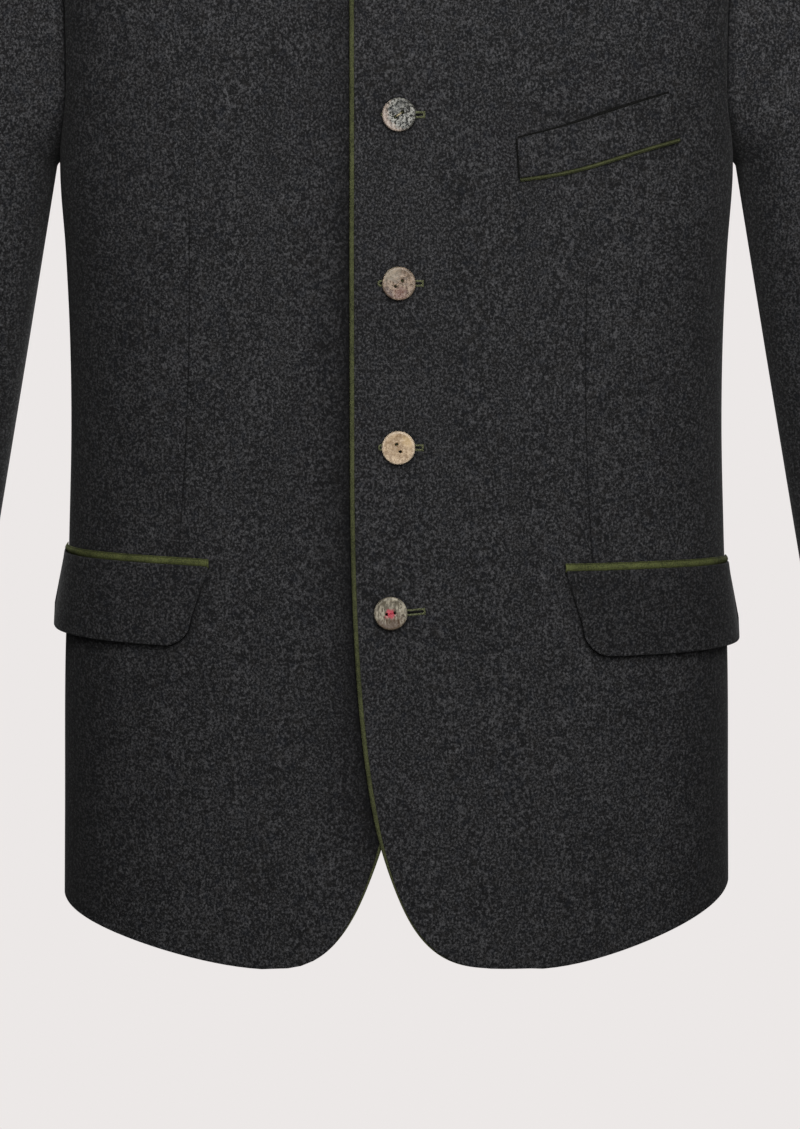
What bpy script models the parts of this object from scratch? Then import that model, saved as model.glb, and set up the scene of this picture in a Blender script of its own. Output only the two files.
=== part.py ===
"""Alpine jacket of felted wool, hollow as it is when worn.

Metres, +Z up. The front faces -Y and the wearer's left is +X. The origin is the middle of the neck, at the
height of the neck ends of the shoulder seams.

The torso is one smooth surface with two coordinates. The angle goes round the body: -90 degrees at the
front, 0 at the left side seam, 90 at the back. The level is metres below the chest line where it is
negative, and above the chest line it is the share of the way over the shoulder, 1 on the shoulder seam.
Every panel is a patch of that surface, and what lies on a panel is a patch moved out along its normals.
A piece of the right side is worked out on the left side and mirrored.
"""
import math

import bmesh
import bpy
import numpy as np
from mathutils import Matrix, Vector

# Cloth
WALL = 0.0020
SEAM = 0.0003
LAID_GAP = 0.0007
LAP_LIFT = 0.0028
LAP_FROM_X = 0.016
LAP_TO_X = 0.060

# Torso
CHEST_Z = -0.235
BODY_SECTIONS = (
    # z, half_width, front_depth, back_depth, squareness
    (-0.235, 0.2168, 0.1200, 0.1180, 3.60),
    (-0.290, 0.2138, 0.1210, 0.1170, 3.20),
    (-0.345, 0.2118, 0.1210, 0.1130, 2.90),
    (-0.400, 0.2114, 0.1210, 0.1090, 2.75),
    (-0.470, 0.2132, 0.1220, 0.1120, 2.65),
    (-0.560, 0.2166, 0.1240, 0.1190, 2.55),
    (-0.650, 0.2176, 0.1260, 0.1230, 2.45),
    (-0.760, 0.2188, 0.1280, 0.1250, 2.40),
)
BACK_HEM_Z = -0.699

# Shoulder line, neck and armhole
NECK_X = 0.070
SHOULDER_X = 0.2145
RIDGE_MIDDLE_Z = 0.020
RIDGE_ROUND_X = 0.045
SHOULDER_Z = -0.045
FRONT_NECK_DROP = 0.557
BACK_NECK_DROP = 0.170
MIDDLE_FULLNESS = 0.25
SHOULDER_FULLNESS = 0.75
ARMHOLE_ANGLE = math.radians(16.5)
ARMHOLE_SCOOP = 0.28
ARMHOLE_LEAN_FROM = 0.35

# Fronts
LOW_HEM_Z = -0.7420
HEM_FALL_BEND = 0.9
FRONTS = (
    # name, side, edge_x, cut_start_z, low_x, cut_fullness, cut_droop, side_hem_z, lap_lift
    ("front_left", 1, -0.0262, -0.405, 0.088, 4.06, 2.49, -0.7015, LAP_LIFT),
    ("front_right", -1, -0.0170, -0.392, 0.081, 2.84, 1.86, -0.7105, 0.0),
)

# Sleeves
SLEEVE_HANG = math.radians(80.4)
UNDERARM_FOLD = 0.003
SLEEVE_CLEARANCE = 0.0006
SEAM_DIP_ENDS = math.radians(45)
SLEEVE_HEAD_FALL = 1.7
SLEEVE_SECTIONS = (
    # drop, across, depth, forward
    (0.000, 0.116, 0.138, 0.000),
    (0.120, 0.112, 0.130, 0.001),
    (0.240, 0.104, 0.120, -0.004),
    (0.340, 0.096, 0.110, -0.013),
    (0.430, 0.090, 0.100, -0.025),
)

# Stand collar
COLLAR_HEIGHT = 0.042
COLLAR_WALL = 0.0024
COLLAR_LEAN = 0.16
COLLAR_CORNER = 0.016
COLLAR_SKIPS = (1, 2)
COLLAR_END_STEPS = (0.0, 0.12, 0.3, 0.55)

# Edge piping, round in section
PIPING_WIDTH = 0.0034
PIPING_THICKNESS = 0.0026
PIPING_SIDES = 6
PIPING_TAPER_POINTS = 6
PIPING_TAPER = 0.4

# Hip pockets
FLAPS = (
    # name, side, front_x, front_z, rear_z, depth
    ("flap_left", 1, 0.1078, -0.4871, -0.4880, 0.0529),
    ("flap_right", -1, 0.1195, -0.4848, -0.4812, 0.0498),
)
FLAP_WALL = 0.0022
FLAP_SLANT = 0.0105
FLAP_FRONT_ROUND = 0.018
FLAP_REAR_ROUND = 0.012
FLAP_FLARE = 0.0055
FLAP_FLARE_BEND = 1.3
FLAP_FRONT_FLARE = 0.12
FLAP_REAR_ANGLE = math.radians(-1.0)
JET_WIDTH = 0.0050
JET_HEIGHT = 0.0020
JET_OVERHANG = 0.0010
CORD_SIDE = 0.35

# Breast pocket, its corners on the left front
WELT_CORNERS = (
    # place, x, z
    ("inner bottom", 0.0774, -0.2413),
    ("outer bottom", 0.1768, -0.2167),
    ("outer top", 0.1704, -0.1892),
    ("inner top", 0.0758, -0.2171),
)
WELT_WALL = 0.0020
WELT_CORD = 0.0020

# Buttons
BUTTON_RADIUS = 0.0106
BUTTON_THICKNESS = 0.0040
BUTTON_EDGE = 0.0010
BUTTON_DISH = 0.0006
BUTTON_DISH_SHARE = 0.70
BUTTON_HOLE_RADIUS = 0.0010
BUTTON_SIDES = 20
HOLE_SIDES = 8
BUTTONS = (
    # name, x, z, hole_spacing, hole_turn in degrees
    ("button_1", 0.0016, -0.0980, 0.0052, 25.0),
    ("button_2", 0.0016, -0.2022, 0.0052, 34.0),
    ("button_3", 0.0016, -0.3072, 0.0054, 40.0),
    ("button_4", 0.0013, -0.4103, 0.0050, -63.0),
    ("button_5", -0.0035, -0.5147, 0.0051, 12.0),
)

# Grid counts, chart step and shading
NECK_COLUMNS = 8
SHOULDER_COLUMNS = 10
CUT_COLUMNS = 10
BACK_NECK_COLUMNS = 10
BACK_SHOULDER_COLUMNS = 7
LOWER_ROWS = 13
ARMHOLE_ROWS = 10
HANG_RINGS = 7
DROP_RINGS = 9
COLLAR_ROWS = 3
FLAP_COLUMNS = 16
FLAP_ROWS = 5
WELT_COLUMNS = 8
WELT_ROWS = 3
CORD_ROWS = 4
CHART_STEP = 1e-4
SHARP_ANGLE = math.radians(40)

# Finishes: colour, roughness, metallic
LODEN = ("loden", (0.030, 0.030, 0.032, 1.0), 0.95, 0.0)
GREEN_CORD = ("green_cord", (0.085, 0.100, 0.030, 1.0), 0.85, 0.0)
ANTLER = ("antler", (0.360, 0.300, 0.230, 1.0), 0.45, 0.0)

SECTION_Z = np.array([row[0] for row in BODY_SECTIONS])[::-1]
SECTION_SIZES = np.array([row[1:] for row in BODY_SECTIONS])[::-1]
SECTION_SLOPES = np.gradient(SECTION_SIZES, SECTION_Z, axis=0)
SECTION_SLOPES[-1] = 0.0
MIRROR = np.array([-1.0, 1.0, 1.0])


def clear_scene():
    """Removes every object that the scene holds."""
    for old in list(bpy.data.objects):
        bpy.data.objects.remove(old, do_unlink=True)


def material(finish):
    """The finish's material, made once."""
    name, colour, roughness, metallic = finish
    made = bpy.data.materials.get(name)
    if made is None:
        made = bpy.data.materials.new(name)
        made.use_nodes = True
        shader = made.node_tree.nodes["Principled BSDF"]
        shader.inputs["Base Color"].default_value = colour
        shader.inputs["Roughness"].default_value = roughness
        shader.inputs["Metallic"].default_value = metallic
    return made


def add_object(name, mesh, finish, parent):
    """Puts a mesh into the scene as one named piece of the jacket."""
    mesh.materials.append(material(finish))
    piece = bpy.data.objects.new(name, mesh)
    piece.parent = parent
    bpy.context.collection.objects.link(piece)
    return piece


def solid_mesh(name, points, faces):
    """A closed mesh of these points and faces, faces turned outwards and shaded smooth."""
    mesh = bpy.data.meshes.new(name)
    mesh.from_pydata(points.tolist(), [], faces)
    work = bmesh.new()
    work.from_mesh(mesh)
    bmesh.ops.recalc_face_normals(work, faces=work.faces)
    work.to_mesh(mesh)
    work.free()
    mesh.shade_smooth()
    mesh.set_sharp_from_angle(angle=SHARP_ANGLE)
    return mesh


def wall_mesh(name, outer, inner, ring=False):
    """The closed wall between two grids of points, split along short diagonals; ring joins the columns."""
    rows, columns = outer.shape[:2]
    step = rows * columns
    points = np.concatenate([outer.reshape(-1, 3), inner.reshape(-1, 3)])

    def index(row, column):
        return row * columns + column % columns

    spans = columns if ring else columns - 1
    faces = []
    for row in range(rows - 1):
        for column in range(spans):
            a, b = index(row, column), index(row, column + 1)
            d, c = index(row + 1, column), index(row + 1, column + 1)
            short = np.linalg.norm(points[a] - points[c]) < np.linalg.norm(points[b] - points[d])
            for corners in ((a, b, c), (a, c, d)) if short else ((a, b, d), (b, c, d)):
                faces.append(list(corners))
                faces.append([step + corner for corner in reversed(corners)])
    for row in (0, rows - 1):
        for column in range(spans):
            start, end = index(row, column), index(row, column + 1)
            faces.append([start, end, step + end, step + start])
    if not ring:
        for column in (0, columns - 1):
            for row in range(rows - 1):
                start, end = index(row, column), index(row + 1, column)
                faces.append([start, end, step + end, step + start])
    return solid_mesh(name, points, faces)


def tube_mesh(name, rings):
    """The closed tube through rings of points, a face across each end."""
    count, sides = rings.shape[:2]
    faces = []
    for ring in range(count - 1):
        for side in range(sides):
            following = (side + 1) % sides
            faces.append([ring * sides + side, ring * sides + following,
                          (ring + 1) * sides + following, (ring + 1) * sides + side])
    faces.append(list(range(sides)))
    faces.append([(count - 1) * sides + side for side in range(sides)])
    return solid_mesh(name, rings.reshape(-1, 3), faces)


def smooth(share):
    """Eases from 0 to 1 while the share goes from 0 to 1."""
    share = np.clip(share, 0.0, 1.0)
    return share * share * (3.0 - 2.0 * share)


def unit(vectors):
    """Vectors of length one."""
    return vectors / np.linalg.norm(vectors, axis=-1, keepdims=True)


def section(z):
    """Half width, front depth, back depth and squareness at height z, on a cubic through the table's rows."""
    z = np.clip(z, SECTION_Z[0], SECTION_Z[-1])
    low = np.clip(np.searchsorted(SECTION_Z, z, side="right") - 1, 0, len(SECTION_Z) - 2)
    span = (SECTION_Z[low + 1] - SECTION_Z[low])[..., None]
    t = (z - SECTION_Z[low])[..., None] / span
    low_sizes, high_sizes = SECTION_SIZES[low], SECTION_SIZES[low + 1]
    low_slopes, high_slopes = SECTION_SLOPES[low] * span, SECTION_SLOPES[low + 1] * span
    sizes = (low_sizes * (2 * t**3 - 3 * t**2 + 1) + low_slopes * (t**3 - 2 * t**2 + t)
             + high_sizes * (3 * t**2 - 2 * t**3) + high_slopes * (t**3 - t**2))
    return np.moveaxis(sizes, -1, 0)


def ridge(x):
    """Height of the shoulder line at x: a parabola through neck and shoulder point, round in the middle."""
    far, neck, shoulder = (np.hypot(at, RIDGE_ROUND_X) - RIDGE_ROUND_X for at in (x, NECK_X, SHOULDER_X))
    neck_slope = -RIDGE_MIDDLE_Z / neck
    shoulder_slope = (SHOULDER_Z - RIDGE_MIDDLE_Z) / shoulder
    bend = (shoulder_slope - neck_slope) / (shoulder - neck)
    return RIDGE_MIDDLE_Z + (neck_slope - bend * neck) * far + bend * far * far


def torso(angle, level):
    """Points of the torso's outer face: rounded sections up to the chest, then arcs over the shoulder."""
    angle, level = np.broadcast_arrays(np.asarray(angle, float), np.asarray(level, float))
    below = np.minimum(level, 0.0)
    half_width, front, back, square = section(CHEST_Z + below)
    depth = np.where(np.sin(angle) < 0.0, front, back)
    radius = (np.abs(np.cos(angle) / half_width) ** square
              + np.abs(np.sin(angle) / depth) ** square) ** (-1.0 / square)
    x = radius * np.cos(angle)
    y = radius * np.sin(angle)
    over = np.clip(level, 0.0, 1.0) * math.pi / 2
    fullness = MIDDLE_FULLNESS + (SHOULDER_FULLNESS - MIDDLE_FULLNESS) * (x / SHOULDER_X) ** 2
    y = y * np.cos(over) * (1.0 + fullness * np.sin(over) ** 2)
    z = CHEST_Z + below + (ridge(x) - CHEST_Z) * np.sin(over)
    return np.stack([x, y, z], axis=-1)


def torso_normal(angle, level):
    """Outward normals of the torso's outer face."""
    across = torso(angle + CHART_STEP, level) - torso(angle - CHART_STEP, level)
    up = torso(angle, level + CHART_STEP) - torso(angle, level - CHART_STEP)
    return unit(np.cross(across, up))


def chest_angle(x, back=False):
    """Angle of x on the section at the chest line, which the levels above it keep."""
    half_width, front_depth, back_depth, square = section(np.full(np.shape(x), CHEST_Z))
    reach = np.maximum(1.0 - (np.abs(x) / half_width) ** square, 0.0) ** (1.0 / square)
    return np.arctan2(back_depth * reach if back else -front_depth * reach, x)


def front_place(x, z):
    """Angle and level of the point of the front at x and z."""
    x, z = np.broadcast_arrays(np.asarray(x, float), np.asarray(z, float))
    half_width, depth, _, square = section(z)
    reach = np.maximum(1.0 - (np.abs(x) / half_width) ** square, 0.0) ** (1.0 / square)
    over = np.arcsin(np.clip((z - CHEST_Z) / (ridge(x) - CHEST_Z), 0.0, 1.0)) * 2 / math.pi
    return np.arctan2(-depth * reach, x), np.where(z > CHEST_Z, over, z - CHEST_Z)


def lap_lift(points, lift):
    """How far the overlapping front stands off the torso: full at the lap, nothing further out."""
    return lift * (1.0 - smooth((points[..., 0] - LAP_FROM_X) / (LAP_TO_X - LAP_FROM_X)))


def laid(angle, level, height, side, lift=0.0):
    """Points at a height over the outer face of a panel."""
    points = torso(angle, level)
    height = np.asarray(height) + lap_lift(points, lift)
    points = points + torso_normal(angle, level) * height[..., None]
    return points if side > 0 else points * MIRROR


def coons(bottom, top, left, right, rises):
    """Grid of places between four border lines, its rows at shares of the way from bottom to top."""
    across = np.linspace(0.0, 1.0, len(bottom))[None, :, None]
    up = rises[:, None, None]
    sides = (1 - across) * left[:, None] + across * right[:, None]
    ends = (1 - up) * bottom[None] + up * top[None]
    corners = ((1 - across) * (1 - up) * bottom[0] + across * (1 - up) * bottom[-1]
               + (1 - across) * up * top[0] + across * up * top[-1])
    return sides + ends - corners


def armhole(share, back=False):
    """Places of the armhole at shares of its height, 0 at the underarm and 1 at the shoulder point."""
    tip = np.abs(np.where(back, chest_angle(SHOULDER_X, True), chest_angle(SHOULDER_X)))
    scoop = np.sqrt(1.0 - (1.0 - np.clip(share / ARMHOLE_SCOOP, 0.0, 1.0)) ** 2)
    lean = smooth((share - ARMHOLE_LEAN_FROM) / (1.0 - ARMHOLE_LEAN_FROM))
    angle = scoop * (ARMHOLE_ANGLE + lean * (tip - ARMHOLE_ANGLE)) * (1.0 if back else -1.0)
    x = torso(angle, np.zeros_like(angle))[..., 0]
    rise = share * (SHOULDER_Z - CHEST_Z) / (ridge(x) - CHEST_Z)
    level = np.arcsin(np.clip(rise, 0.0, 1.0)) * 2 / math.pi
    return np.stack([angle, level], axis=-1)


def armhole_shares():
    """Shares of the armhole's height at the panels' rows, close together at the underarm and the shoulder."""
    return (1.0 - np.cos(np.linspace(0.0, math.pi, ARMHOLE_ROWS + 1))) / 2


def shoulder_places(x, back=False):
    """Places along the shoulder seam, half a seam gap away from its line."""
    angle = chest_angle(x, back)
    depth = np.abs(torso(angle, np.zeros_like(angle))[..., 1])
    return np.stack([angle, 1.0 - SEAM / (math.pi * depth)], axis=-1)


def neck_places(x, back=False):
    """Places along the neckline, an arc of an ellipse between the neck points."""
    reach = np.sqrt(np.clip(1.0 - (x / NECK_X) ** 2, 0.0, 1.0))
    drop = BACK_NECK_DROP if back else FRONT_NECK_DROP
    return np.stack([chest_angle(x, back), 1.0 - drop * reach], axis=-1)


def neck_line(edge_x):
    """The x of a front's neckline points, from its edge to the neck point."""
    return NECK_X * np.sin(np.linspace(math.asin(edge_x / NECK_X), math.pi / 2, NECK_COLUMNS + 1))


def back_neck_line():
    """The x of the back's neckline points, from the left neck point to the right one."""
    return NECK_X * np.sin(np.linspace(math.pi / 2, -math.pi / 2, BACK_NECK_COLUMNS + 1))


def lines_between(low, high, rows):
    """Straight lines of places from one border to another, rows of them from low to high."""
    share = np.linspace(0.0, 1.0, rows + 1)[:, None, None]
    return low[None] * (1 - share) + high[None] * share


def cutaway(edge_x, start_z, low_x, fullness, droop):
    """Places down the rounded front corner, from the straight edge to the hem's lowest point."""
    turn = np.linspace(0.0, math.pi / 2, CUT_COLUMNS + 1)
    x = low_x - (low_x - edge_x) * np.cos(turn) ** (2.0 / fullness)
    z = start_z + (LOW_HEM_Z - start_z) * np.sin(turn) ** (2.0 / droop)
    return np.stack(front_place(x, z), axis=-1)


def front_places(edge_x, start_z, low_x, fullness, droop, side_hem_z):
    """Grid of places of a front panel, its bottom row round the cutaway and along the hem."""
    seam_angle = -SEAM / (2 * BODY_SECTIONS[0][1])
    columns = NECK_COLUMNS + SHOULDER_COLUMNS
    cut = cutaway(edge_x, start_z, low_x, fullness, droop)
    hem_angle = np.linspace(cut[-1, 0], seam_angle, columns - CUT_COLUMNS + 1)[1:]
    fall = smooth((hem_angle / cut[-1, 0]) ** HEM_FALL_BEND)
    hem_z = side_hem_z + (LOW_HEM_Z - side_hem_z) * fall
    bottom = np.concatenate([cut, np.stack([hem_angle, hem_z - CHEST_Z], axis=-1)])
    chest = np.linspace(chest_angle(edge_x), seam_angle, columns + 1)
    chest = np.stack([chest, np.zeros_like(chest)], axis=-1)
    lower = lines_between(bottom, chest, LOWER_ROWS)
    neck = neck_places(neck_line(edge_x))
    shoulder = shoulder_places(np.linspace(NECK_X, SHOULDER_X, SHOULDER_COLUMNS + 1))
    top = np.concatenate([neck[:-1], shoulder])
    edge = lines_between(chest[:1], top[:1], ARMHOLE_ROWS)[:, 0]
    right = armhole(armhole_shares())
    right[0] = chest[-1]
    right[-1] = top[-1]
    upper = coons(chest, top, edge, right, np.linspace(0.0, 1.0, ARMHOLE_ROWS + 1))
    return np.concatenate([lower, upper[1:]])


def back_places(left_hem_z, right_hem_z):
    """Grid of places of the back, from the left side to the right one."""
    seam_angle = SEAM / (2 * BODY_SECTIONS[0][1])
    columns = 2 * BACK_SHOULDER_COLUMNS + BACK_NECK_COLUMNS
    chest = np.linspace(seam_angle, math.pi - seam_angle, columns + 1)
    side_z = left_hem_z + (right_hem_z - left_hem_z) * smooth(chest / math.pi)
    hem_z = side_z + (BACK_HEM_Z - side_z) * np.sin(chest) ** 2
    hem = np.stack([chest, hem_z - CHEST_Z], axis=-1)
    chest = np.stack([chest, np.zeros_like(chest)], axis=-1)
    lower = lines_between(hem, chest, LOWER_ROWS)
    shoulder_x = np.linspace(SHOULDER_X, NECK_X, BACK_SHOULDER_COLUMNS + 1)
    top = np.concatenate([shoulder_places(shoulder_x, True), neck_places(back_neck_line(), True)[1:-1],
                          shoulder_places(-shoulder_x[::-1], True)])
    left = armhole(armhole_shares(), True)
    left[0], left[-1] = chest[0], top[0]
    right = left * (-1.0, 1.0) + (math.pi, 0.0)
    upper = coons(chest, top, left, right, armhole_shares())
    return np.concatenate([lower, upper[1:]])


def add_panel(name, places, side, lift, parent):
    """A wall of cloth on a grid of places."""
    outer = laid(places[..., 0], places[..., 1], 0.0, side, lift)
    inner = laid(places[..., 0], places[..., 1], -WALL, side, lift)
    return add_object(name, wall_mesh(name, outer, inner), LODEN, parent)


def sleeve_rings():
    """Rings of the left sleeve: they swing down about the underarm from the armhole, then go down the arm."""
    count = 2 * ARMHOLE_ROWS
    turn = np.linspace(0.0, 2 * math.pi, count, endpoint=False)
    share = (1.0 - np.cos(turn)) / 2
    front = np.sin(turn) >= 0.0
    place = np.where(front[:, None], armhole(share), armhole(share, True))
    hole = torso(place[:, 0], place[:, 1])
    pivot_x = BODY_SECTIONS[0][1] + SLEEVE_CLEARANCE
    pivot_z = CHEST_Z - UNDERARM_FOLD
    hole_height = SHOULDER_Z - CHEST_Z
    dip = hole[:, 0] + SEAM - pivot_x
    drop, across, depth, forward = np.array(SLEEVE_SECTIONS).T
    rings = []
    for swing in np.linspace(0.0, SLEEVE_HANG, HANG_RINGS + 1):
        part = swing / SLEEVE_HANG
        narrowing = 1.0 - (1.0 - part) ** SLEEVE_HEAD_FALL
        height = UNDERARM_FOLD + share * (hole_height + (across[0] - hole_height) * narrowing)
        y = hole[:, 1] * (1 - smooth(part)) - depth[0] / 2 * np.sin(turn) * smooth(part)
        sunk = dip * (1.0 - smooth(swing / SEAM_DIP_ENDS))
        x = pivot_x + height * math.sin(swing) + sunk * math.cos(swing)
        z = pivot_z + height * math.cos(swing) - sunk * math.sin(swing)
        rings.append(np.stack([x, y, z], axis=-1))
    for far in np.linspace(0.0, drop[-1], DROP_RINGS + 1)[1:]:
        height = UNDERARM_FOLD + share * np.interp(far, drop, across)
        y = np.interp(far, drop, forward) - np.interp(far, drop, depth) / 2 * np.sin(turn)
        x = pivot_x + height * math.sin(SLEEVE_HANG) + far * math.cos(SLEEVE_HANG)
        z = pivot_z + height * math.cos(SLEEVE_HANG) - far * math.sin(SLEEVE_HANG)
        rings.append(np.stack([x, y, z], axis=-1))
    return np.array(rings)


def ring_normals(rings):
    """Outward normals of a sleeve; the first ring's stay in the armhole's plane, clear of the panels."""
    along = np.gradient(rings, axis=0)
    around = np.roll(rings, -1, axis=1) - np.roll(rings, 1, axis=1)
    normals = np.cross(along, around)
    normals[0, :, 0] = 0.0
    return unit(normals)


def add_sleeve(name, side, parent):
    """A sleeve as one open tube of cloth."""
    outer = sleeve_rings()
    inner = outer - ring_normals(outer) * WALL
    if side < 0:
        outer, inner = outer * MIRROR, inner * MIRROR
    return add_object(name, wall_mesh(name, outer, inner, ring=True), LODEN, parent)


def collar_line():
    """Neckline under the collar, from the right front round the back to the left front, and its normals."""
    (left_edge, right_edge), (left_skip, right_skip) = (row[2] for row in FRONTS), COLLAR_SKIPS
    right = neck_places(neck_line(right_edge)[right_skip:])
    back = neck_places(back_neck_line()[::-1], True)[1:-1]
    left = neck_places(neck_line(left_edge)[left_skip:][::-1])
    line = np.concatenate([laid(*right.T, 0.0, -1), laid(*back.T, 0.0, 1), laid(*left.T, 0.0, 1, LAP_LIFT)])
    normal = np.concatenate([torso_normal(*right.T) * MIRROR, torso_normal(*back.T), torso_normal(*left.T)])
    last = len(line) - 1
    steps = np.concatenate([COLLAR_END_STEPS, np.arange(1, last), last - np.array(COLLAR_END_STEPS)[::-1]])
    spread = [np.interp(steps, np.arange(last + 1), column) for column in np.hstack([line, normal]).T]
    return np.array(spread[:3]).T, unit(np.array(spread[3:]).T)


def rounded_corner(distance, radius):
    """How much a rounded corner takes off an edge at a distance from the corner."""
    short = np.clip(radius - distance, 0.0, radius)
    return radius - np.sqrt(radius * radius - short * short)


def add_collar(parent):
    """The stand collar: a band that rises from the neckline and leans in to the neck."""
    line, normal = collar_line()
    along = unit(np.gradient(line, axis=0))
    inward = unit(np.cross(along, normal))
    up = inward * (1.0, 1.0, 0.0) * COLLAR_LEAN + (0.0, 0.0, 1.0)
    up = unit(up)
    outward = unit(np.cross(up, along))
    length = np.concatenate([[0.0], np.cumsum(np.linalg.norm(np.diff(line, axis=0), axis=1))])
    from_end = np.minimum(length, length[-1] - length)
    height = COLLAR_HEIGHT - rounded_corner(from_end, COLLAR_CORNER)
    base = line + inward * SEAM
    outer, inner = [], []
    for share in np.linspace(0.0, 1.0, COLLAR_ROWS + 1):
        row = base + up * (height * share)[:, None]
        outer.append(row)
        inner.append(row - (normal if share == 0.0 else outward) * COLLAR_WALL)
    return add_object("collar", wall_mesh("collar", np.array(outer), np.array(inner)), LODEN, parent)


def add_edge_piping(name, places, side, lift, parent):
    """The corded edge of a front, round the panel's own border from the neck to the hem's lowest point."""
    border = np.concatenate([places[::-1, 0], places[0, 1:CUT_COLUMNS + 1]])
    line = laid(*border.T, 0.0, 1, lift)
    normal = torso_normal(*border.T)
    outward = unit(np.cross(np.gradient(line, axis=0), normal))
    size = np.ones(len(line))
    size[-PIPING_TAPER_POINTS:] = np.linspace(1.0, PIPING_TAPER, PIPING_TAPER_POINTS)
    turn = np.linspace(0.0, 2 * math.pi, PIPING_SIDES, endpoint=False)
    reach = SEAM + PIPING_WIDTH / 2 * size[:, None] * (1.0 + np.cos(turn))
    height = -WALL / 2 + PIPING_THICKNESS / 2 * size[:, None] * np.sin(turn)
    rings = line[:, None] + outward[:, None] * reach[..., None] + normal[:, None] * height[..., None]
    if side < 0:
        rings = rings * MIRROR
    return add_object(name, tube_mesh(name, rings), GREEN_CORD, parent)


def flap_angles(front_x, z, share):
    """Angles across a hip pocket, from its front edge to just past the side seam, closer at both ends."""
    first = front_place(front_x, z)[0]
    return first + (FLAP_REAR_ANGLE - first) * (1.0 - np.cos(math.pi * share)) / 2


def add_flap(name, side, front_x, front_z, rear_z, depth, parent):
    """A pocket flap with rounded lower corners, standing off the body towards its rear."""
    share = np.linspace(0.0, 1.0, FLAP_COLUMNS + 1)[None, :]
    down = np.linspace(0.0, 1.0, FLAP_ROWS + 1)[:, None]
    start_z = front_z + (rear_z - front_z) * share - JET_WIDTH / 2 - SEAM
    low_angle = flap_angles(front_x + FLAP_SLANT, start_z - depth, share)
    low_line = torso(low_angle[0], start_z[0] - depth - CHEST_Z)
    run = np.concatenate([[0.0], np.cumsum(np.linalg.norm(np.diff(low_line, axis=0), axis=1))])
    fall = depth - rounded_corner(run, FLAP_FRONT_ROUND) - rounded_corner(run[-1] - run, FLAP_REAR_ROUND)
    z = start_z - fall[None, :] * down
    angle = flap_angles(front_x + FLAP_SLANT * down, z, share)
    flare = FLAP_FLARE * down ** FLAP_FLARE_BEND * (FLAP_FRONT_FLARE + (1 - FLAP_FRONT_FLARE) * smooth(share))
    gap = LAID_GAP + flare
    outer = laid(angle, z - CHEST_Z, gap + FLAP_WALL, side)
    inner = laid(angle, z - CHEST_Z, gap, side)
    return add_object(name, wall_mesh(name, outer, inner), LODEN, parent)


def half_round(share, height):
    """Height of a cord's rounded face at a share of its width."""
    return height * (CORD_SIDE + (1.0 - CORD_SIDE) * np.sin(math.pi * share))


def add_jet(name, side, front_x, front_z, rear_z, parent):
    """The green cord over a flap."""
    share = np.linspace(0.0, 1.0, FLAP_COLUMNS + 1)[None, :]
    rise = np.linspace(0.0, 1.0, CORD_ROWS + 1)[:, None]
    z = front_z + (rear_z - front_z) * share + JET_WIDTH * (rise - 0.5)
    angle = flap_angles(front_x - JET_OVERHANG, z, share)
    outer = laid(angle, z - CHEST_Z, LAID_GAP + half_round(rise, JET_HEIGHT) + 0.0 * share, side)
    inner = laid(angle, z - CHEST_Z, LAID_GAP, side)
    return add_object(name, wall_mesh(name, outer, inner), GREEN_CORD, parent)


def welt_grid(rows, columns, low, high):
    """Places on the breast pocket; low and high are shares of its height."""
    corners = [np.array(corner[1:]) for corner in WELT_CORNERS]
    inner_bottom, outer_bottom, outer_top, inner_top = corners
    across = np.linspace(0.0, 1.0, columns + 1)[None, :, None]
    up = np.linspace(low, high, rows + 1)[:, None, None]
    bottom = inner_bottom + (outer_bottom - inner_bottom) * across
    top = inner_top + (outer_top - inner_top) * across
    grid = bottom + (top - bottom) * up
    return front_place(grid[..., 0], grid[..., 1])


def add_welt(parent):
    """The breast pocket's welt and the thin cord along its lower edge."""
    height = WELT_CORNERS[3][2] - WELT_CORNERS[0][2]
    angle, level = welt_grid(WELT_ROWS, WELT_COLUMNS, 0.0, 1.0)
    outer = laid(angle, level, LAID_GAP + WELT_WALL, 1)
    inner = laid(angle, level, LAID_GAP, 1)
    add_object("breast_welt", wall_mesh("breast_welt", outer, inner), LODEN, parent)
    angle, level = welt_grid(CORD_ROWS, WELT_COLUMNS, -(SEAM + WELT_CORD) / height, -SEAM / height)
    rise = np.linspace(0.0, 1.0, CORD_ROWS + 1)[:, None] + np.zeros_like(angle)
    outer = laid(angle, level, LAID_GAP + half_round(rise, WELT_CORD), 1)
    inner = laid(angle, level, LAID_GAP, 1)
    name = "breast_welt_piping"
    add_object(name, wall_mesh(name, outer, inner), GREEN_CORD, parent)


def turned(name, profile, sides):
    """A solid of revolution about Z from rows of radius and height, bottom to top."""
    turn = np.linspace(0.0, 2 * math.pi, sides, endpoint=False)
    radius, height = np.array(profile).T
    rings = np.stack([radius[:, None] * np.cos(turn), radius[:, None] * np.sin(turn),
                      height[:, None] + np.zeros_like(turn)], axis=-1)
    return tube_mesh(name, rings)


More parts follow.
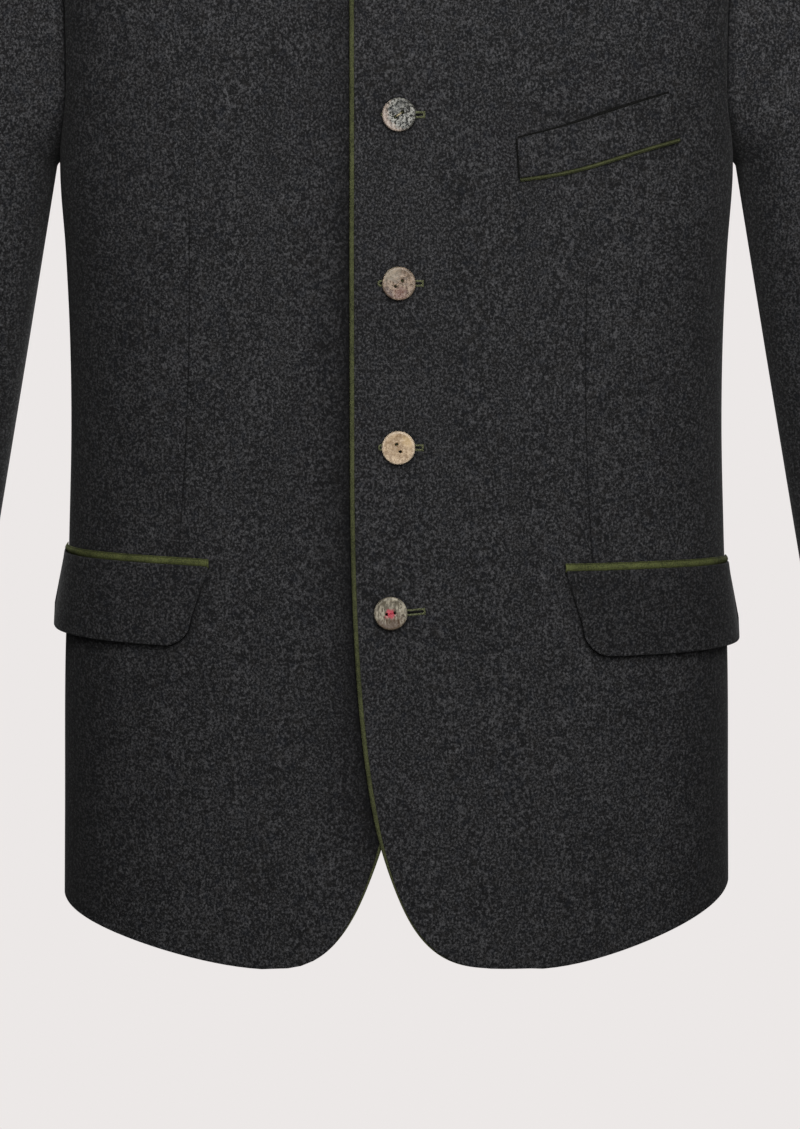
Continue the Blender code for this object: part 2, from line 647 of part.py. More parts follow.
def add_button(name, x, z, spacing, hole_turn, parent):
    """A two-hole button, dished on top, flat on the left front."""
    profile = (
        # radius, height
        (BUTTON_RADIUS - BUTTON_EDGE, 0.0),
        (BUTTON_RADIUS, BUTTON_EDGE),
        (BUTTON_RADIUS, BUTTON_THICKNESS - BUTTON_EDGE),
        (BUTTON_RADIUS - BUTTON_EDGE, BUTTON_THICKNESS),
        (BUTTON_RADIUS * BUTTON_DISH_SHARE, BUTTON_THICKNESS - BUTTON_DISH),
    )
    angle, level = front_place(x, z)
    point = laid(angle, level, SEAM, 1, LAP_LIFT)
    normal = Vector(torso_normal(angle, level))
    across = Vector((0.0, 0.0, 1.0)).cross(normal).normalized()
    frame = Matrix((across, normal.cross(across), normal)).transposed().to_4x4()
    button = add_object(name, turned(name, profile, BUTTON_SIDES), ANTLER, parent)
    button.matrix_world = Matrix.Translation(Vector(point)) @ frame
    for hole in (-1, 1):
        drill_profile = ((BUTTON_HOLE_RADIUS, -BUTTON_THICKNESS), (BUTTON_HOLE_RADIUS, 2 * BUTTON_THICKNESS))
        drill = bpy.data.objects.new(f"{name}_drill", turned(f"{name}_drill", drill_profile, HOLE_SIDES))
        bpy.context.collection.objects.link(drill)
        turn = math.radians(hole_turn)
        offset = Vector((math.cos(turn), math.sin(turn), 0.0)) * hole * spacing / 2
        drill.matrix_world = button.matrix_world @ Matrix.Translation(offset)
        drill.hide_render = True
        drill.display_type = "WIRE"
        cut = button.modifiers.new("hole", "BOOLEAN")
        cut.operation = "DIFFERENCE"
        cut.object = drill


def main():
    """Builds the jacket."""
    clear_scene()
    jacket = bpy.data.objects.new("jacket", None)
    bpy.context.collection.objects.link(jacket)
    for name, side, *cut, side_hem_z, lift in FRONTS:
        places = front_places(*cut, side_hem_z)
        add_panel(name, places, side, lift, jacket)
        add_edge_piping(f"{name}_piping", places, side, lift, jacket)
    left_hem_z, right_hem_z = (row[-2] for row in FRONTS)
    add_panel("back", back_places(left_hem_z, right_hem_z), 1, 0.0, jacket)
    add_sleeve("sleeve_left", 1, jacket)
    add_sleeve("sleeve_right", -1, jacket)
    add_collar(jacket)
    for name, side, front_x, front_z, rear_z, depth in FLAPS:
        add_flap(name, side, front_x, front_z, rear_z, depth, jacket)
        add_jet(f"{name}_piping", side, front_x, front_z, rear_z, jacket)
    add_welt(jacket)
    for name, x, z, spacing, hole_turn in BUTTONS:
        add_button(name, x, z, spacing, hole_turn, jacket)


main()
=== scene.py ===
"""Looks of an alpine jacket: felted cloth, green cording, antler buttons and the sewing.

Metres, +Z up. The front faces -Y and the wearer's left is +X. The origin is the middle of the neck.
Each cloth piece is a thin wall on the same surface as its solid, with finer points, soft creases and
round edges. A piece of the right side is worked out on the left side and mirrored.
"""
from __future__ import annotations

import logging
import math
from dataclasses import dataclass
from enum import Enum
from functools import cached_property
from typing import Any, Sequence

import bmesh
import bpy
import numpy as np
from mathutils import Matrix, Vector

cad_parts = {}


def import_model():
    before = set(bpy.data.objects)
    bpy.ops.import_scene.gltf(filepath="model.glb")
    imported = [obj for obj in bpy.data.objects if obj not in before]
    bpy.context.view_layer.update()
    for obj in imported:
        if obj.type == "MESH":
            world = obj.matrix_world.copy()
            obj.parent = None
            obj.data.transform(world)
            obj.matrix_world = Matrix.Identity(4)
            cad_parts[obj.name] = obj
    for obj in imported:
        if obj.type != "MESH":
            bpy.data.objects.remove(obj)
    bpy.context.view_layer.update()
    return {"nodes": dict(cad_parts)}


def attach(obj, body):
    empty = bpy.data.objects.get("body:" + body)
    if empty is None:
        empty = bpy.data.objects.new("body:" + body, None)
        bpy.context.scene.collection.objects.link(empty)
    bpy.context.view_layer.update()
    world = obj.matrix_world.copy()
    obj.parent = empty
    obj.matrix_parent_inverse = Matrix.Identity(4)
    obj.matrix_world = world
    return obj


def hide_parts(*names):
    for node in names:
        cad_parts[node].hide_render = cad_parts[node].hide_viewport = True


Array = np.ndarray
Pair = tuple[float, float]
Triple = tuple[float, float, float]
Material = bpy.types.Material

LOG = logging.getLogger("jacket")
BODY = "root"

# Cloth, shared by all the pieces
WALL = 0.0020
SEAM = 0.0003
LAID_GAP = 0.0007
LAP_LIFT = 0.0028
FREE_RIM = 0.0009
SEWN_RIM = 0.0003
SEAM_DIVE = 0.0009
SEAM_REACH = 0.0022
FAR_FROM_SEAM = 0.05
SEAM_ATTRIBUTE = "seam_distance"
# How light the cloth is drawn at each point: a plain tone with painted shade and painted highlight.
TONE_AND_PAINTED_LIGHT_ATTRIBUTE = "nap_tone"

# Fineness of the meshes and the shaders
RIM_STEPS = 4
ROW_BIAS = 1.2
BORDER_POINTS = 600
CHART_STEP = 1e-4
MERGE = 1e-6
TINY = 1e-12
FOLD_SAMPLES = 4
NOISE_MEAN = 0.5


class Side(Enum):
    """Side of the wearer that a piece is on."""

    LEFT = 1
    RIGHT = -1

    @property
    def word(self) -> str:
        """The side as the names of the nodes have it."""
        return self.name.lower()

    def placed(self, points: Array) -> Array:
        """The points on this side, from those worked out on the left."""
        return points * (float(self.value), 1.0, 1.0)


class Slot(Enum):
    """The record's material slots."""

    LODEN = "loden"
    CORD = "green_cord"
    ANTLER = "antler"


def srgb(red: int, green: int, blue: int) -> Triple:
    """Linear colour of three screen values from 0 to 255."""
    shares = (value / 255.0 for value in (red, green, blue))
    return tuple(s / 12.92 if s <= 0.04045 else ((s + 0.055) / 1.055) ** 2.4 for s in shares)


def between(first: Array | float, last: Array | float, share: Array) -> Array:
    """The value at a share of the way from the first one to the last."""
    return first + (last - first) * share


def smooth(share: Array) -> Array:
    """Eases from 0 to 1 while the share goes from 0 to 1: 3 s^2 - 2 s^3."""
    share = np.clip(share, 0.0, 1.0)
    return share * share * (3.0 - 2.0 * share)


def bell(distance: Array, width: float) -> Array:
    """A bell of height one: exp(-(distance / width)^2)."""
    return np.exp(-(distance / width) ** 2)


def unit(vectors: Array) -> Array:
    """Vectors of length one."""
    return vectors / np.maximum(np.linalg.norm(vectors, axis=-1, keepdims=True), TINY)


def tightened(count: int, strength: float = 0.5) -> Array:
    """Shares from 0 to 1, closer together at both ends: t - strength * sin(2 pi t) / (2 pi)."""
    t = np.linspace(0.0, 1.0, count + 1)
    return t - strength * np.sin(2 * math.pi * t) / (2 * math.pi)


def circle(sides: int) -> Array:
    """Angles of one turn, the first one not repeated at its end."""
    return np.linspace(0.0, 2 * math.pi, sides, endpoint=False)


def spun(points: Array, degrees: float) -> Array:
    """Points turned about their third axis: (x cos a - y sin a, x sin a + y cos a, z)."""
    x, y, z = np.moveaxis(points, -1, 0)
    cosine, sine = math.cos(math.radians(degrees)), math.sin(math.radians(degrees))
    return np.stack([x * cosine - y * sine, x * sine + y * cosine, z], axis=-1)


def run_along(points: Array, axis: int) -> Array:
    """Distance gone along one axis of a grid of points, from its first row or column."""
    steps = np.linalg.norm(np.diff(points, axis=axis), axis=-1)
    start = np.zeros_like(np.take(steps, [0], axis=axis))
    return np.concatenate([start, np.cumsum(steps, axis=axis)], axis=axis)


def at_shares(values: Array, points: Array, shares: Array) -> Array:
    """Values of a line's points, read at shares of the line's length.

    Args:
        values: one row of values for each point.
        points: the line's points, which give its length.
        shares: shares of the length, from 0 to 1.

    Returns:
        One row of values for each share.
    """
    run = run_along(points, 0)
    return np.stack([np.interp(shares * run[-1], run, column) for column in values.T], axis=-1)


def rounded_corner(distance: Array, radius: float) -> Array:
    """How much a round corner takes off an edge, at a distance from the corner."""
    short = np.clip(radius - distance, 0.0, radius)
    return radius - np.sqrt(radius * radius - short * short)


def half_round(share: Array, height: float, side: float = 0.35) -> Array:
    """Height of a cord's rounded face at a share of its width: height * (side + (1 - side) * sin(pi s))."""
    return height * between(side, 1.0, np.sin(math.pi * share))


def ruled(low: Array, high: Array, rows: int) -> Array:
    """Rows of places from a low line to a high one, closer together near the low one."""
    up = np.linspace(0.0, 1.0, rows + 1)[:, None, None] ** ROW_BIAS
    return low[None] * (1 - up) + high[None] * up


def coons(bottom: Array, top: Array, left: Array, right: Array, across: Array, up: Array) -> Array:
    """Grid between four border lines: the two ruled grids added, less the grid of the corners.

    Args:
        bottom, top: places of the lower and upper border, at the shares in across.
        left, right: places of the side borders, at the shares in up.
        across, up: shares from 0 to 1 along the borders.

    Returns:
        Places, rows from bottom to top, columns from left to right.
    """
    u, v = across[None, :, None], up[:, None, None]
    sides = (1 - u) * left[:, None] + u * right[:, None]
    ends = (1 - v) * bottom[None] + v * top[None]
    corners = (1 - v) * ((1 - u) * bottom[0] + u * bottom[-1]) + v * ((1 - u) * top[0] + u * top[-1])
    return sides + ends - corners


def swept(line: Array, aside: Array, upward: Array, reach: Array, height: Array) -> Array:
    """Rings of points along a line: line + aside * reach + upward * height.

    Args:
        line: the points of the line.
        aside, upward: the two directions of each ring.
        reach, height: how far the points of a ring lie in them, for all the rings or for each.

    Returns:
        One row of points for each point of the line.
    """
    return line[:, None] + aside[:, None] * reach[..., None] + upward[:, None] * height[..., None]


@dataclass(frozen=True)
class Shape:
    """Points and faces of one mesh."""

    points: Array
    faces: list[list[int]]

    def mesh(self, name: str) -> bpy.types.Mesh:
        """A new mesh of this shape."""
        made = bpy.data.meshes.new(name)
        made.from_pydata(self.points.tolist(), [], self.faces)
        return made

    def joined(self, other: Shape) -> Shape:
        """This shape and another one in the same mesh."""
        step = len(self.points)
        moved = [[step + corner for corner in face] for face in other.faces]
        return Shape(np.concatenate([self.points, other.points]), self.faces + moved)

    def turned_out(self) -> Shape:
        """The shape with its double points merged and its faces turned outwards."""
        mesh = self.mesh("work")
        work = bmesh.new()
        work.from_mesh(mesh)
        bmesh.ops.remove_doubles(work, verts=work.verts, dist=MERGE)
        bmesh.ops.recalc_face_normals(work, faces=work.faces)
        work.to_mesh(mesh)
        work.free()
        points = np.empty(3 * len(mesh.vertices), np.float32)
        corners = np.empty(len(mesh.loops), np.int32)
        starts = np.empty(len(mesh.polygons), np.int32)
        mesh.vertices.foreach_get("co", points)
        mesh.loops.foreach_get("vertex_index", corners)
        mesh.polygons.foreach_get("loop_start", starts)
        bpy.data.meshes.remove(mesh)
        faces = [face.tolist() for face in np.split(corners, starts[1:])]
        return Shape(points.reshape(-1, 3).astype(float), faces)


def closed(index: Array) -> Array:
    """A grid with its first column once more at its end."""
    return np.hstack([index, index[:, :1]])


def numbered(points: Array) -> Array:
    """Numbers of a grid's points, in its rows and columns."""
    return np.arange(points[..., 0].size).reshape(points.shape[:2])


def grid_faces(index: Array) -> Array:
    """Four corners of each cell of a grid of numbers, anticlockwise where rows go up and columns right."""
    corners = (index[:-1, :-1], index[:-1, 1:], index[1:, 1:], index[1:, :-1])
    return np.stack([corner.ravel() for corner in corners], axis=-1)


def wall(outer: Array, inner: Array, bulge: Array | float, side: Side = Side.LEFT,
         ring: bool = False) -> Shape:
    """A closed wall of cloth between two grids, its edges rounded.

    The edge is half an ellipse: middle + half the wall * cos(a) + outward * bulge * sin(a), a from 0 to pi.

    Args:
        outer, inner: grids of points, rows going up and columns right when seen from outside.
        bulge: how far the rounded edge stands out, one number or one for each point of the border.
        side: the side of the wearer, where the right one is mirrored.
        ring: True if the last column joins the first one.

    Returns:
        The wall's shape.
    """
    index = numbered(outer)
    spread = closed(index) if ring else index
    if ring:
        borders = [index[0], index[-1, ::-1]]
    else:
        borders = [np.concatenate([index[0, :-1], index[:-1, -1], index[-1, :0:-1], index[:0:-1, 0]])]
    points = [outer.reshape(-1, 3), inner.reshape(-1, 3)]
    faces = [grid_faces(spread), grid_faces(spread)[:, ::-1] + index.size]
    count = 2 * index.size
    for border in borders:
        half = (points[0][border] - points[1][border]) / 2
        middle = points[1][border] + half
        along = np.roll(middle, -1, axis=0) - np.roll(middle, 1, axis=0)
        out = unit(np.cross(along, half)) * np.broadcast_to(bulge, len(border))[:, None]
        turn = np.linspace(0.0, math.pi, RIM_STEPS + 1)[1:-1, None, None]
        rim = middle + half * np.cos(turn) + out * np.sin(turn)
        strip = np.vstack([border, count + numbered(rim), border + index.size])
        faces.append(grid_faces(closed(strip))[:, ::-1])
        points.append(rim.reshape(-1, 3))
        count += rim[..., 0].size
    every = np.concatenate(faces)
    every = every if side is Side.LEFT else every[:, ::-1]
    return Shape(side.placed(np.concatenate(points)), every.tolist())


def tube(rings: Array, side: Side = Side.LEFT) -> Shape:
    """A closed tube through rings of points, with a face across each end."""
    index = numbered(rings)
    faces = grid_faces(closed(index)).tolist() + [index[0, ::-1].tolist(), index[-1].tolist()]
    return Shape(side.placed(rings.reshape(-1, 3)), faces).turned_out()


def hem_bulge(grid: Array) -> Array:
    """How far the edge of a panel stands out: more along its free bottom row than at its seams.

    Args:
        grid: the panel's points.

    Returns:
        One distance for each point of the border, in the order that wall() goes round it.
    """
    rows, columns = grid.shape[:2]
    bulge = np.full(2 * (rows + columns) - 4, SEWN_RIM)
    bulge[:columns - 1] = FREE_RIM
    return bulge


def add_piece(name: str, shape: Shape, finish: Material, slot: Slot, node: str | None = None,
              seam: Array | None = None, tone: Array | None = None) -> bpy.types.Object:
    """Puts a shape into the scene as one piece of the jacket.

    Args:
        name: the piece's name.
        shape: its mesh, in place.
        finish: its material.
        slot: the record's slot that the finish belongs to. Not used.
        node: the solid that the piece stands for, if there is one.
        seam: distance of the first points from a sewn line, if the piece has one.
        tone: how light the first points are drawn, with painted shade and painted highlight, if it isn't 1
            all over.

    Returns:
        The new object.
    """
    mesh = shape.mesh(name)
    mesh.shade_smooth()
    mesh.materials.append(finish)
    for attribute, plain, given in ((SEAM_ATTRIBUTE, FAR_FROM_SEAM, seam), (TONE_AND_PAINTED_LIGHT_ATTRIBUTE, 1.0, tone)):
        values = np.full(len(shape.points), plain, np.float32)
        if given is not None:
            values[:given.size] = given.ravel()
        mesh.attributes.new(attribute, "FLOAT", "POINT").data.foreach_set("value", values)
    piece = bpy.data.objects.new(name, mesh)
    bpy.context.scene.collection.objects.link(piece)
    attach(piece, BODY)
    if node is not None:
        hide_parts(node)
    LOG.info("%s: %d points, %d faces", name, len(mesh.vertices), len(mesh.polygons))
    return piece


class Socket:
    """An output of a shader node. Arithmetic on it adds Math nodes."""

    def __init__(self, graph: Graph, link: bpy.types.NodeSocket | None) -> None:
        """Keeps the output and the graph that it is in."""
        self.graph = graph
        self.link = link

    def _math(self, operation: str, *values: Socket | float) -> Socket:
        """A Math node on these values."""
        return self.graph.node("ShaderNodeMath", {"operation": operation}, dict(enumerate(values)))

    def __add__(self, other: Socket | float) -> Socket:
        """Sum."""
        return self._math("ADD", self, other)

    __radd__ = __add__

    def __sub__(self, other: Socket | float) -> Socket:
        """Difference."""
        return self._math("SUBTRACT", self, other)

    def __rsub__(self, other: Socket | float) -> Socket:
        """Difference from a number."""
        return self._math("SUBTRACT", other, self)

    def __mul__(self, other: Socket | float) -> Socket:
        """Product."""
        return self._math("MULTIPLY", self, other)

    __rmul__ = __mul__

    def __truediv__(self, other: Socket | float) -> Socket:
        """Quotient."""
        return self._math("DIVIDE", self, other)

    def __rtruediv__(self, other: Socket | float) -> Socket:
        """A number divided by the value."""
        return self._math("DIVIDE", other, self)

    def __abs__(self) -> Socket:
        """Size without sign."""
        return self._math("ABSOLUTE", self)

    def eased(self, low: float, high: float) -> Socket:
        """0 up to low, 1 from high on, and a smooth step between them."""
        inputs = {"Value": self, "From Min": low, "From Max": high}
        return self.graph.node("ShaderNodeMapRange", {"interpolation_type": "SMOOTHSTEP"}, inputs)


class Graph:
    """The nodes of one material or world."""

    def __init__(self, tree: bpy.types.NodeTree) -> None:
        """Takes over a node tree and empties it."""
        self.tree = tree
        tree.nodes.clear()

    def node(self, kind: str, settings: dict[str, Any] | None = None, inputs: dict[Any, Any] | None = None,
             output: int | str = 0) -> Socket:
        """Adds a node.

        Args:
            kind: the node's type.
            settings: its properties, set first.
            inputs: values or sockets, by the name or number of the node's input.
            output: name or number of the output to return.

        Returns:
            That output.
        """
        made = self.tree.nodes.new(kind)
        for name, value in (settings or {}).items():
            setattr(made, name, value)
        for name, value in (inputs or {}).items():
            socket = made.inputs[name]
            if isinstance(value, Socket):
                self.tree.links.new(value.link, socket)
            elif socket.type == "RGBA" and len(value) == 3:
                socket.default_value = (*value, 1.0)
            else:
                socket.default_value = value
        return Socket(self, made.outputs[output] if len(made.outputs) else None)

    def mix(self, factor: Socket | float, low: Socket | Triple, high: Socket | Triple) -> Socket:
        """A colour between two others."""
        return self.node("ShaderNodeMix", {"data_type": "RGBA"}, {0: factor, 6: low, 7: high}, 2)

    def places(self, scale: Triple = (1.0, 1.0, 1.0), centre: Triple = (0.0, 0.0, 0.0)) -> Socket:
        """Places on the piece, measured from a centre and then stretched."""
        seen = self.node("ShaderNodeTexCoord", output="Object")
        moved = tuple(-c * s for c, s in zip(centre, scale))
        return self.node("ShaderNodeMapping", inputs={"Vector": seen, "Scale": scale, "Location": moved})

    def noise(self, places: Socket, size: float, detail: float = 2.0, roughness: float = 0.5) -> Socket:
        """Cloudy noise with features of about a size in metres."""
        inputs = {"Vector": places, "Scale": 1.0 / size, "Detail": detail, "Roughness": roughness}
        return self.node("ShaderNodeTexNoise", inputs=inputs)

    def distance(self, places: Socket) -> Socket:
        """Distance of the places from their centre."""
        return self.node("ShaderNodeVectorMath", {"operation": "LENGTH"}, {0: places}, "Value")

    def attribute(self, name: str) -> Socket:
        """A value that the mesh has at its points."""
        return self.node("ShaderNodeAttribute", {"attribute_name": name}, output="Fac")

    def painted_occlusion(self, reach: float) -> Socket:
        """1 on an open surface, less where other surfaces are within reach: ambient occlusion, used to
        paint shade into colours.
        """
        settings = {"samples": FOLD_SAMPLES}
        return self.node("ShaderNodeAmbientOcclusion", settings, {"Distance": reach}, "AO")

    def bump(self, height: Socket, depth: float, strength: float) -> Socket:
        """Normals of a surface with a relief."""
        inputs = {"Height": height, "Distance": depth, "Strength": strength}
        return self.node("ShaderNodeBump", inputs=inputs)

    def surface(self, inputs: dict[str, Any]) -> None:
        """Ends the graph in a Principled shader with these inputs."""
        shader = self.node("ShaderNodeBsdfPrincipled", inputs=inputs)
        self.node("ShaderNodeOutputMaterial", inputs={"Surface": shader})


def new_material(name: str) -> tuple[Material, Graph]:
    """An empty material with nodes, and its graph."""
    made = bpy.data.materials.new(name)
    made.use_nodes = True
    return made, Graph(made.node_tree)


@dataclass(frozen=True)
class LodenFelt:
    """Felted wool: light fibres in a dark ground, darker along seams, with painted shade in folds and
    corners and where the tone attribute paints it.

    How light a point is comes from fine noises along the nap, with tufts and clouds added, eased between
    two levels so that few fibres are bright.
    """

    name: str = "loden_felt"
    ground: Triple = (0.0108, 0.0108, 0.0115)
    fibre: Triple = (0.1230, 0.1220, 0.1270)
    cool: Triple = (0.0130, 0.0160, 0.0230)
    warm: Triple = (0.0290, 0.0260, 0.0230)
    # The colour of the seams, which is also what the painted shade darkens towards.
    seam: Triple = (0.0030, 0.0030, 0.0032)
    fibre_size: float = 0.0014
    grain_size: float = 0.0008
    tuft_size: float = 0.0040
    cloud_size: float = 0.030
    tint_size: float = 0.0056
    combed: float = 0.88
    streak: float = 0.35
    side_grain: float = 0.33
    fibre_share: float = 0.52
    grain_share: float = 0.36
    streak_share: float = 0.12
    tuft_share: float = 0.14
    cloud_share: float = 0.07
    light_levels: Pair = (0.41, 0.77)
    cool_levels: Pair = (0.55, 0.75)
    cool_share: float = 0.30
    warm_levels: Pair = (0.25, 0.45)
    warm_share: float = 0.25
    seam_levels: Pair = (0.00016, 0.0008)
    seam_share: float = 0.65
    seam_depth: float = 0.6
    # Painted shade in folds and corners from ambient occlusion: how far it reaches, and the light left at
    # its deepest.
    painted_shade_reach: float = 0.008
    painted_shade_floor: float = 0.08
    relief: float = 0.0006
    relief_strength: float = 0.5
    roughness: float = 0.92
    specular: float = 0.15
    sheen: float = 0.05
    sheen_roughness: float = 0.5

    def material(self) -> Material:
        """The cloth's material."""
        made, graph = new_material(self.name)
        plain = graph.places()
        combed = graph.places((1.0, self.side_grain, self.combed))
        streaked = graph.places((1.0, self.side_grain, self.streak))
        mixed = (graph.noise(combed, self.fibre_size, detail=1.0) * self.fibre_share
                 + graph.noise(combed, self.grain_size, detail=1.0) * self.grain_share
                 + graph.noise(streaked, self.fibre_size, detail=1.0) * self.streak_share)
        tufts = (graph.noise(plain, self.tuft_size) - NOISE_MEAN) * self.tuft_share
        clouds = (graph.noise(plain, self.cloud_size, detail=3.0) - NOISE_MEAN) * self.cloud_share
        tint = graph.noise(plain, self.tint_size, detail=1.0)
        colour = graph.mix((mixed + tufts + clouds).eased(*self.light_levels), self.ground, self.fibre)
        colour = graph.mix(tint.eased(*self.cool_levels) * self.cool_share, colour, self.cool)
        colour = graph.mix((1.0 - tint.eased(*self.warm_levels)) * self.warm_share, colour, self.warm)
        line = 1.0 - abs(graph.attribute(SEAM_ATTRIBUTE)).eased(*self.seam_levels)
        # Painted shade: ambient occlusion and the tone attribute darken the colour towards the seam colour,
        # together with the seam line.
        painted_occlusion = self.painted_shade_floor + (1.0 - self.painted_shade_floor) * graph.painted_occlusion(self.painted_shade_reach)
        lit = (1.0 - line * self.seam_share) * graph.attribute(TONE_AND_PAINTED_LIGHT_ATTRIBUTE) * painted_occlusion
        graph.surface({
            "Base Color": graph.mix(1.0 - lit, colour, self.seam),
            "Roughness": self.roughness,
            "Specular IOR Level": self.specular,
            "Sheen Weight": self.sheen,
            "Sheen Roughness": self.sheen_roughness,
            "Normal": graph.bump(mixed - line * self.seam_depth, self.relief, self.relief_strength),
        })
        return made


@dataclass(frozen=True)
class GreenFelt:
    """Olive green felt of the cording, with painted shade along its sewn edges and in folds and corners."""

    name: str = "green_felt"
    deep: Triple = srgb(47, 50, 31)
    light: Triple = srgb(93, 97, 64)
    # The dark colour that the painted shade darkens towards.
    edge: Triple = srgb(20, 22, 9)
    fibre_size: float = 0.0009
    cloud_size: float = 0.012
    cloud_share: float = 0.3
    light_levels: Pair = (0.30, 0.70)
    # Painted shade along the sewn edges and, from ambient occlusion, in folds and corners.
    edge_shade_reach: float = 0.0008
    edge_shade_share: float = 0.8
    painted_shade_reach: float = 0.004
    painted_shade_share: float = 0.7
    relief: float = 0.0004
    relief_strength: float = 0.5
    roughness: float = 0.88
    specular: float = 0.2

    def material(self) -> Material:
        """The cording's material."""
        made, graph = new_material(self.name)
        fibres = graph.noise(graph.places(), self.fibre_size, detail=3.0, roughness=0.6)
        clouds = graph.noise(graph.places(), self.cloud_size)
        light = (fibres * (1.0 - self.cloud_share) + clouds * self.cloud_share).eased(*self.light_levels)
        # Painted shade along the cord's sewn edges and in folds and corners.
        from_edge = graph.attribute(SEAM_ATTRIBUTE).eased(0.0, self.edge_shade_reach)
        sewn = self.edge_shade_share - self.edge_shade_share * from_edge
        painted_fold_shade = self.painted_shade_share - self.painted_shade_share * graph.painted_occlusion(self.painted_shade_reach)
        colour = graph.mix(sewn, graph.mix(light, self.deep, self.light), self.edge)
        graph.surface({
            "Base Color": graph.mix(painted_fold_shade, colour, self.edge),
            "Roughness": self.roughness,
            "Specular IOR Level": self.specular,
            "Normal": graph.bump(fibres, self.relief, self.relief_strength),
        })
        return made


@dataclass(frozen=True)
class Thread:
    """Sewing thread of one colour, and dark sheets of painted shade that have no shine."""

    name: str
    colour: Triple
    shade: Triple
    shine: float = 0.3
    twist_size: float = 0.0006
    twist_levels: Pair = (0.35, 0.65)
    relief: float = 0.0002
    relief_strength: float = 0.6
    roughness: float = 0.7

    def material(self) -> Material:
        """The thread's material."""
        made, graph = new_material(self.name)
        twist = graph.noise(graph.places(), self.twist_size)
        graph.surface({
            "Base Color": graph.mix(twist.eased(*self.twist_levels), self.shade, self.colour),
            "Roughness": self.roughness,
            "Specular IOR Level": self.shine,
            "Normal": graph.bump(twist, self.relief, self.relief_strength),
        })
        return made


@dataclass(frozen=True)
class Stain:
    """A patch of another tone on a button, soft at its edge: a disc about a point, or all outside it."""

    at: Pair
    size: float
    soft: float
    colour: Triple
    strength: float
    outside: bool = False


@dataclass(frozen=True)
class Antler:
    """Polished antler of one button: two tones, dark pores, a lighter rim that is partly wear and partly
    painted highlight, and stains.
    """

    light: Triple
    dark: Triple
    pore: Triple
    pore_share: float
    # The lighter rim, partly wear and partly painted highlight.
    rim: Triple
    rim_share: float
    stains: tuple[Stain, ...]
    combed: float = 1.0
    broad_size: float = 0.0045
    fine_size: float = 0.0018
    pore_size: float = 0.0014
    broad_share: float = 0.45
    tone_levels: Pair = (0.40, 0.60)
    pore_level: float = 0.66
    pore_spread: float = 0.14
    pore_edge: float = 0.06
    pore_fine_share: float = 0.3
    rim_levels: Pair = (0.80, 0.97)
    rim_wear_and_highlight: Pair = (0.4, 0.9)
    relief: float = 0.0004
    relief_strength: float = 0.6
    roughness: float = 0.42
    pore_roughness: float = 0.25
    specular: float = 0.45

    def material(self, name: str, centre: Triple, radius: float) -> Material:
        """The button's material.

        Args:
            name: the material's name.
            centre: the middle of the button's face.
            radius: the button's radius.

        Returns:
            The material.
        """
        made, graph = new_material(name)
        places = graph.places((1.0, 1.0, self.combed), centre)
        broad = graph.noise(places, self.broad_size, detail=3.0, roughness=0.6)
        fine = graph.noise(places, self.fine_size, roughness=0.6)
        pores = graph.noise(places, self.pore_size, detail=1.0)
        mottled = (broad * self.broad_share + fine * (1.0 - self.broad_share)).eased(*self.tone_levels)
        colour = graph.mix(mottled, self.dark, self.light)
        level = self.pore_level - self.pore_spread * self.pore_share
        pits = pores * (1.0 - self.pore_fine_share) + fine * self.pore_fine_share
        pits = pits.eased(level, level + self.pore_edge)
        colour = graph.mix(pits * self.pore_share, colour, self.pore)
        x, y, z = centre
        for stain in self.stains:
            near = graph.distance(graph.places((1.0, 0.0, 1.0), (x + stain.at[0], y, z + stain.at[1])))
            ragged = near + (fine - NOISE_MEAN) * (2.0 * stain.soft)
            past = ragged.eased(stain.size - stain.soft, stain.size)
            patch = past if stain.outside else 1.0 - past
            colour = graph.mix(patch * stain.strength, colour, stain.colour)
        # A lighter rim, partly wear and partly painted highlight, patchy with the broad noise.
        out = graph.distance(graph.places((1.0, 0.0, 1.0), centre)) / radius
        wear_and_highlight = self.rim_wear_and_highlight[0] + self.rim_wear_and_highlight[1] * broad
        colour = graph.mix(out.eased(*self.rim_levels) * wear_and_highlight * self.rim_share, colour, self.rim)
        relief = fine - pits * self.pore_share
        graph.surface({
            "Base Color": colour,
            "Roughness": self.pore_roughness * pits + self.roughness,
            "Specular IOR Level": self.specular,
            "Normal": graph.bump(relief, self.relief, self.relief_strength),
        })
        return made


@dataclass(frozen=True)
class Crease:
    """A soft trough, or a ridge where the depth is positive, along a bowed line in a piece's flat sizes.

    With t the share of the way along the line and d the distance from it, the height is
    depth * exp(-(d / width)^2), eased to nothing over the first and last third of the line.
    """

    start: Pair
    end: Pair
    bow: float
    width: float
    depth: float

    def height(self, across: Array, up: Array) -> Array:
        """Height that the crease adds.

        Args:
            across, up: places in the piece's flat sizes.

        Returns:
            One height for each place.
        """
        dx, dy = self.end[0] - self.start[0], self.end[1] - self.start[1]
        length = math.hypot(dx, dy)
        x, y = across - self.start[0], up - self.start[1]
        t = (x * dx + y * dy) / length ** 2
        d = (y * dx - x * dy) / length - self.bow * 4.0 * t * (1.0 - t)
        return self.depth * bell(d, self.width) * smooth(3.0 * t) * smooth(3.0 - 3.0 * t)


def creased(creases: Sequence[Crease], across: Array, up: Array) -> Array:
    """Height of all the creases together."""
    return sum((crease.height(across, up) for crease in creases), np.zeros(np.shape(up)))


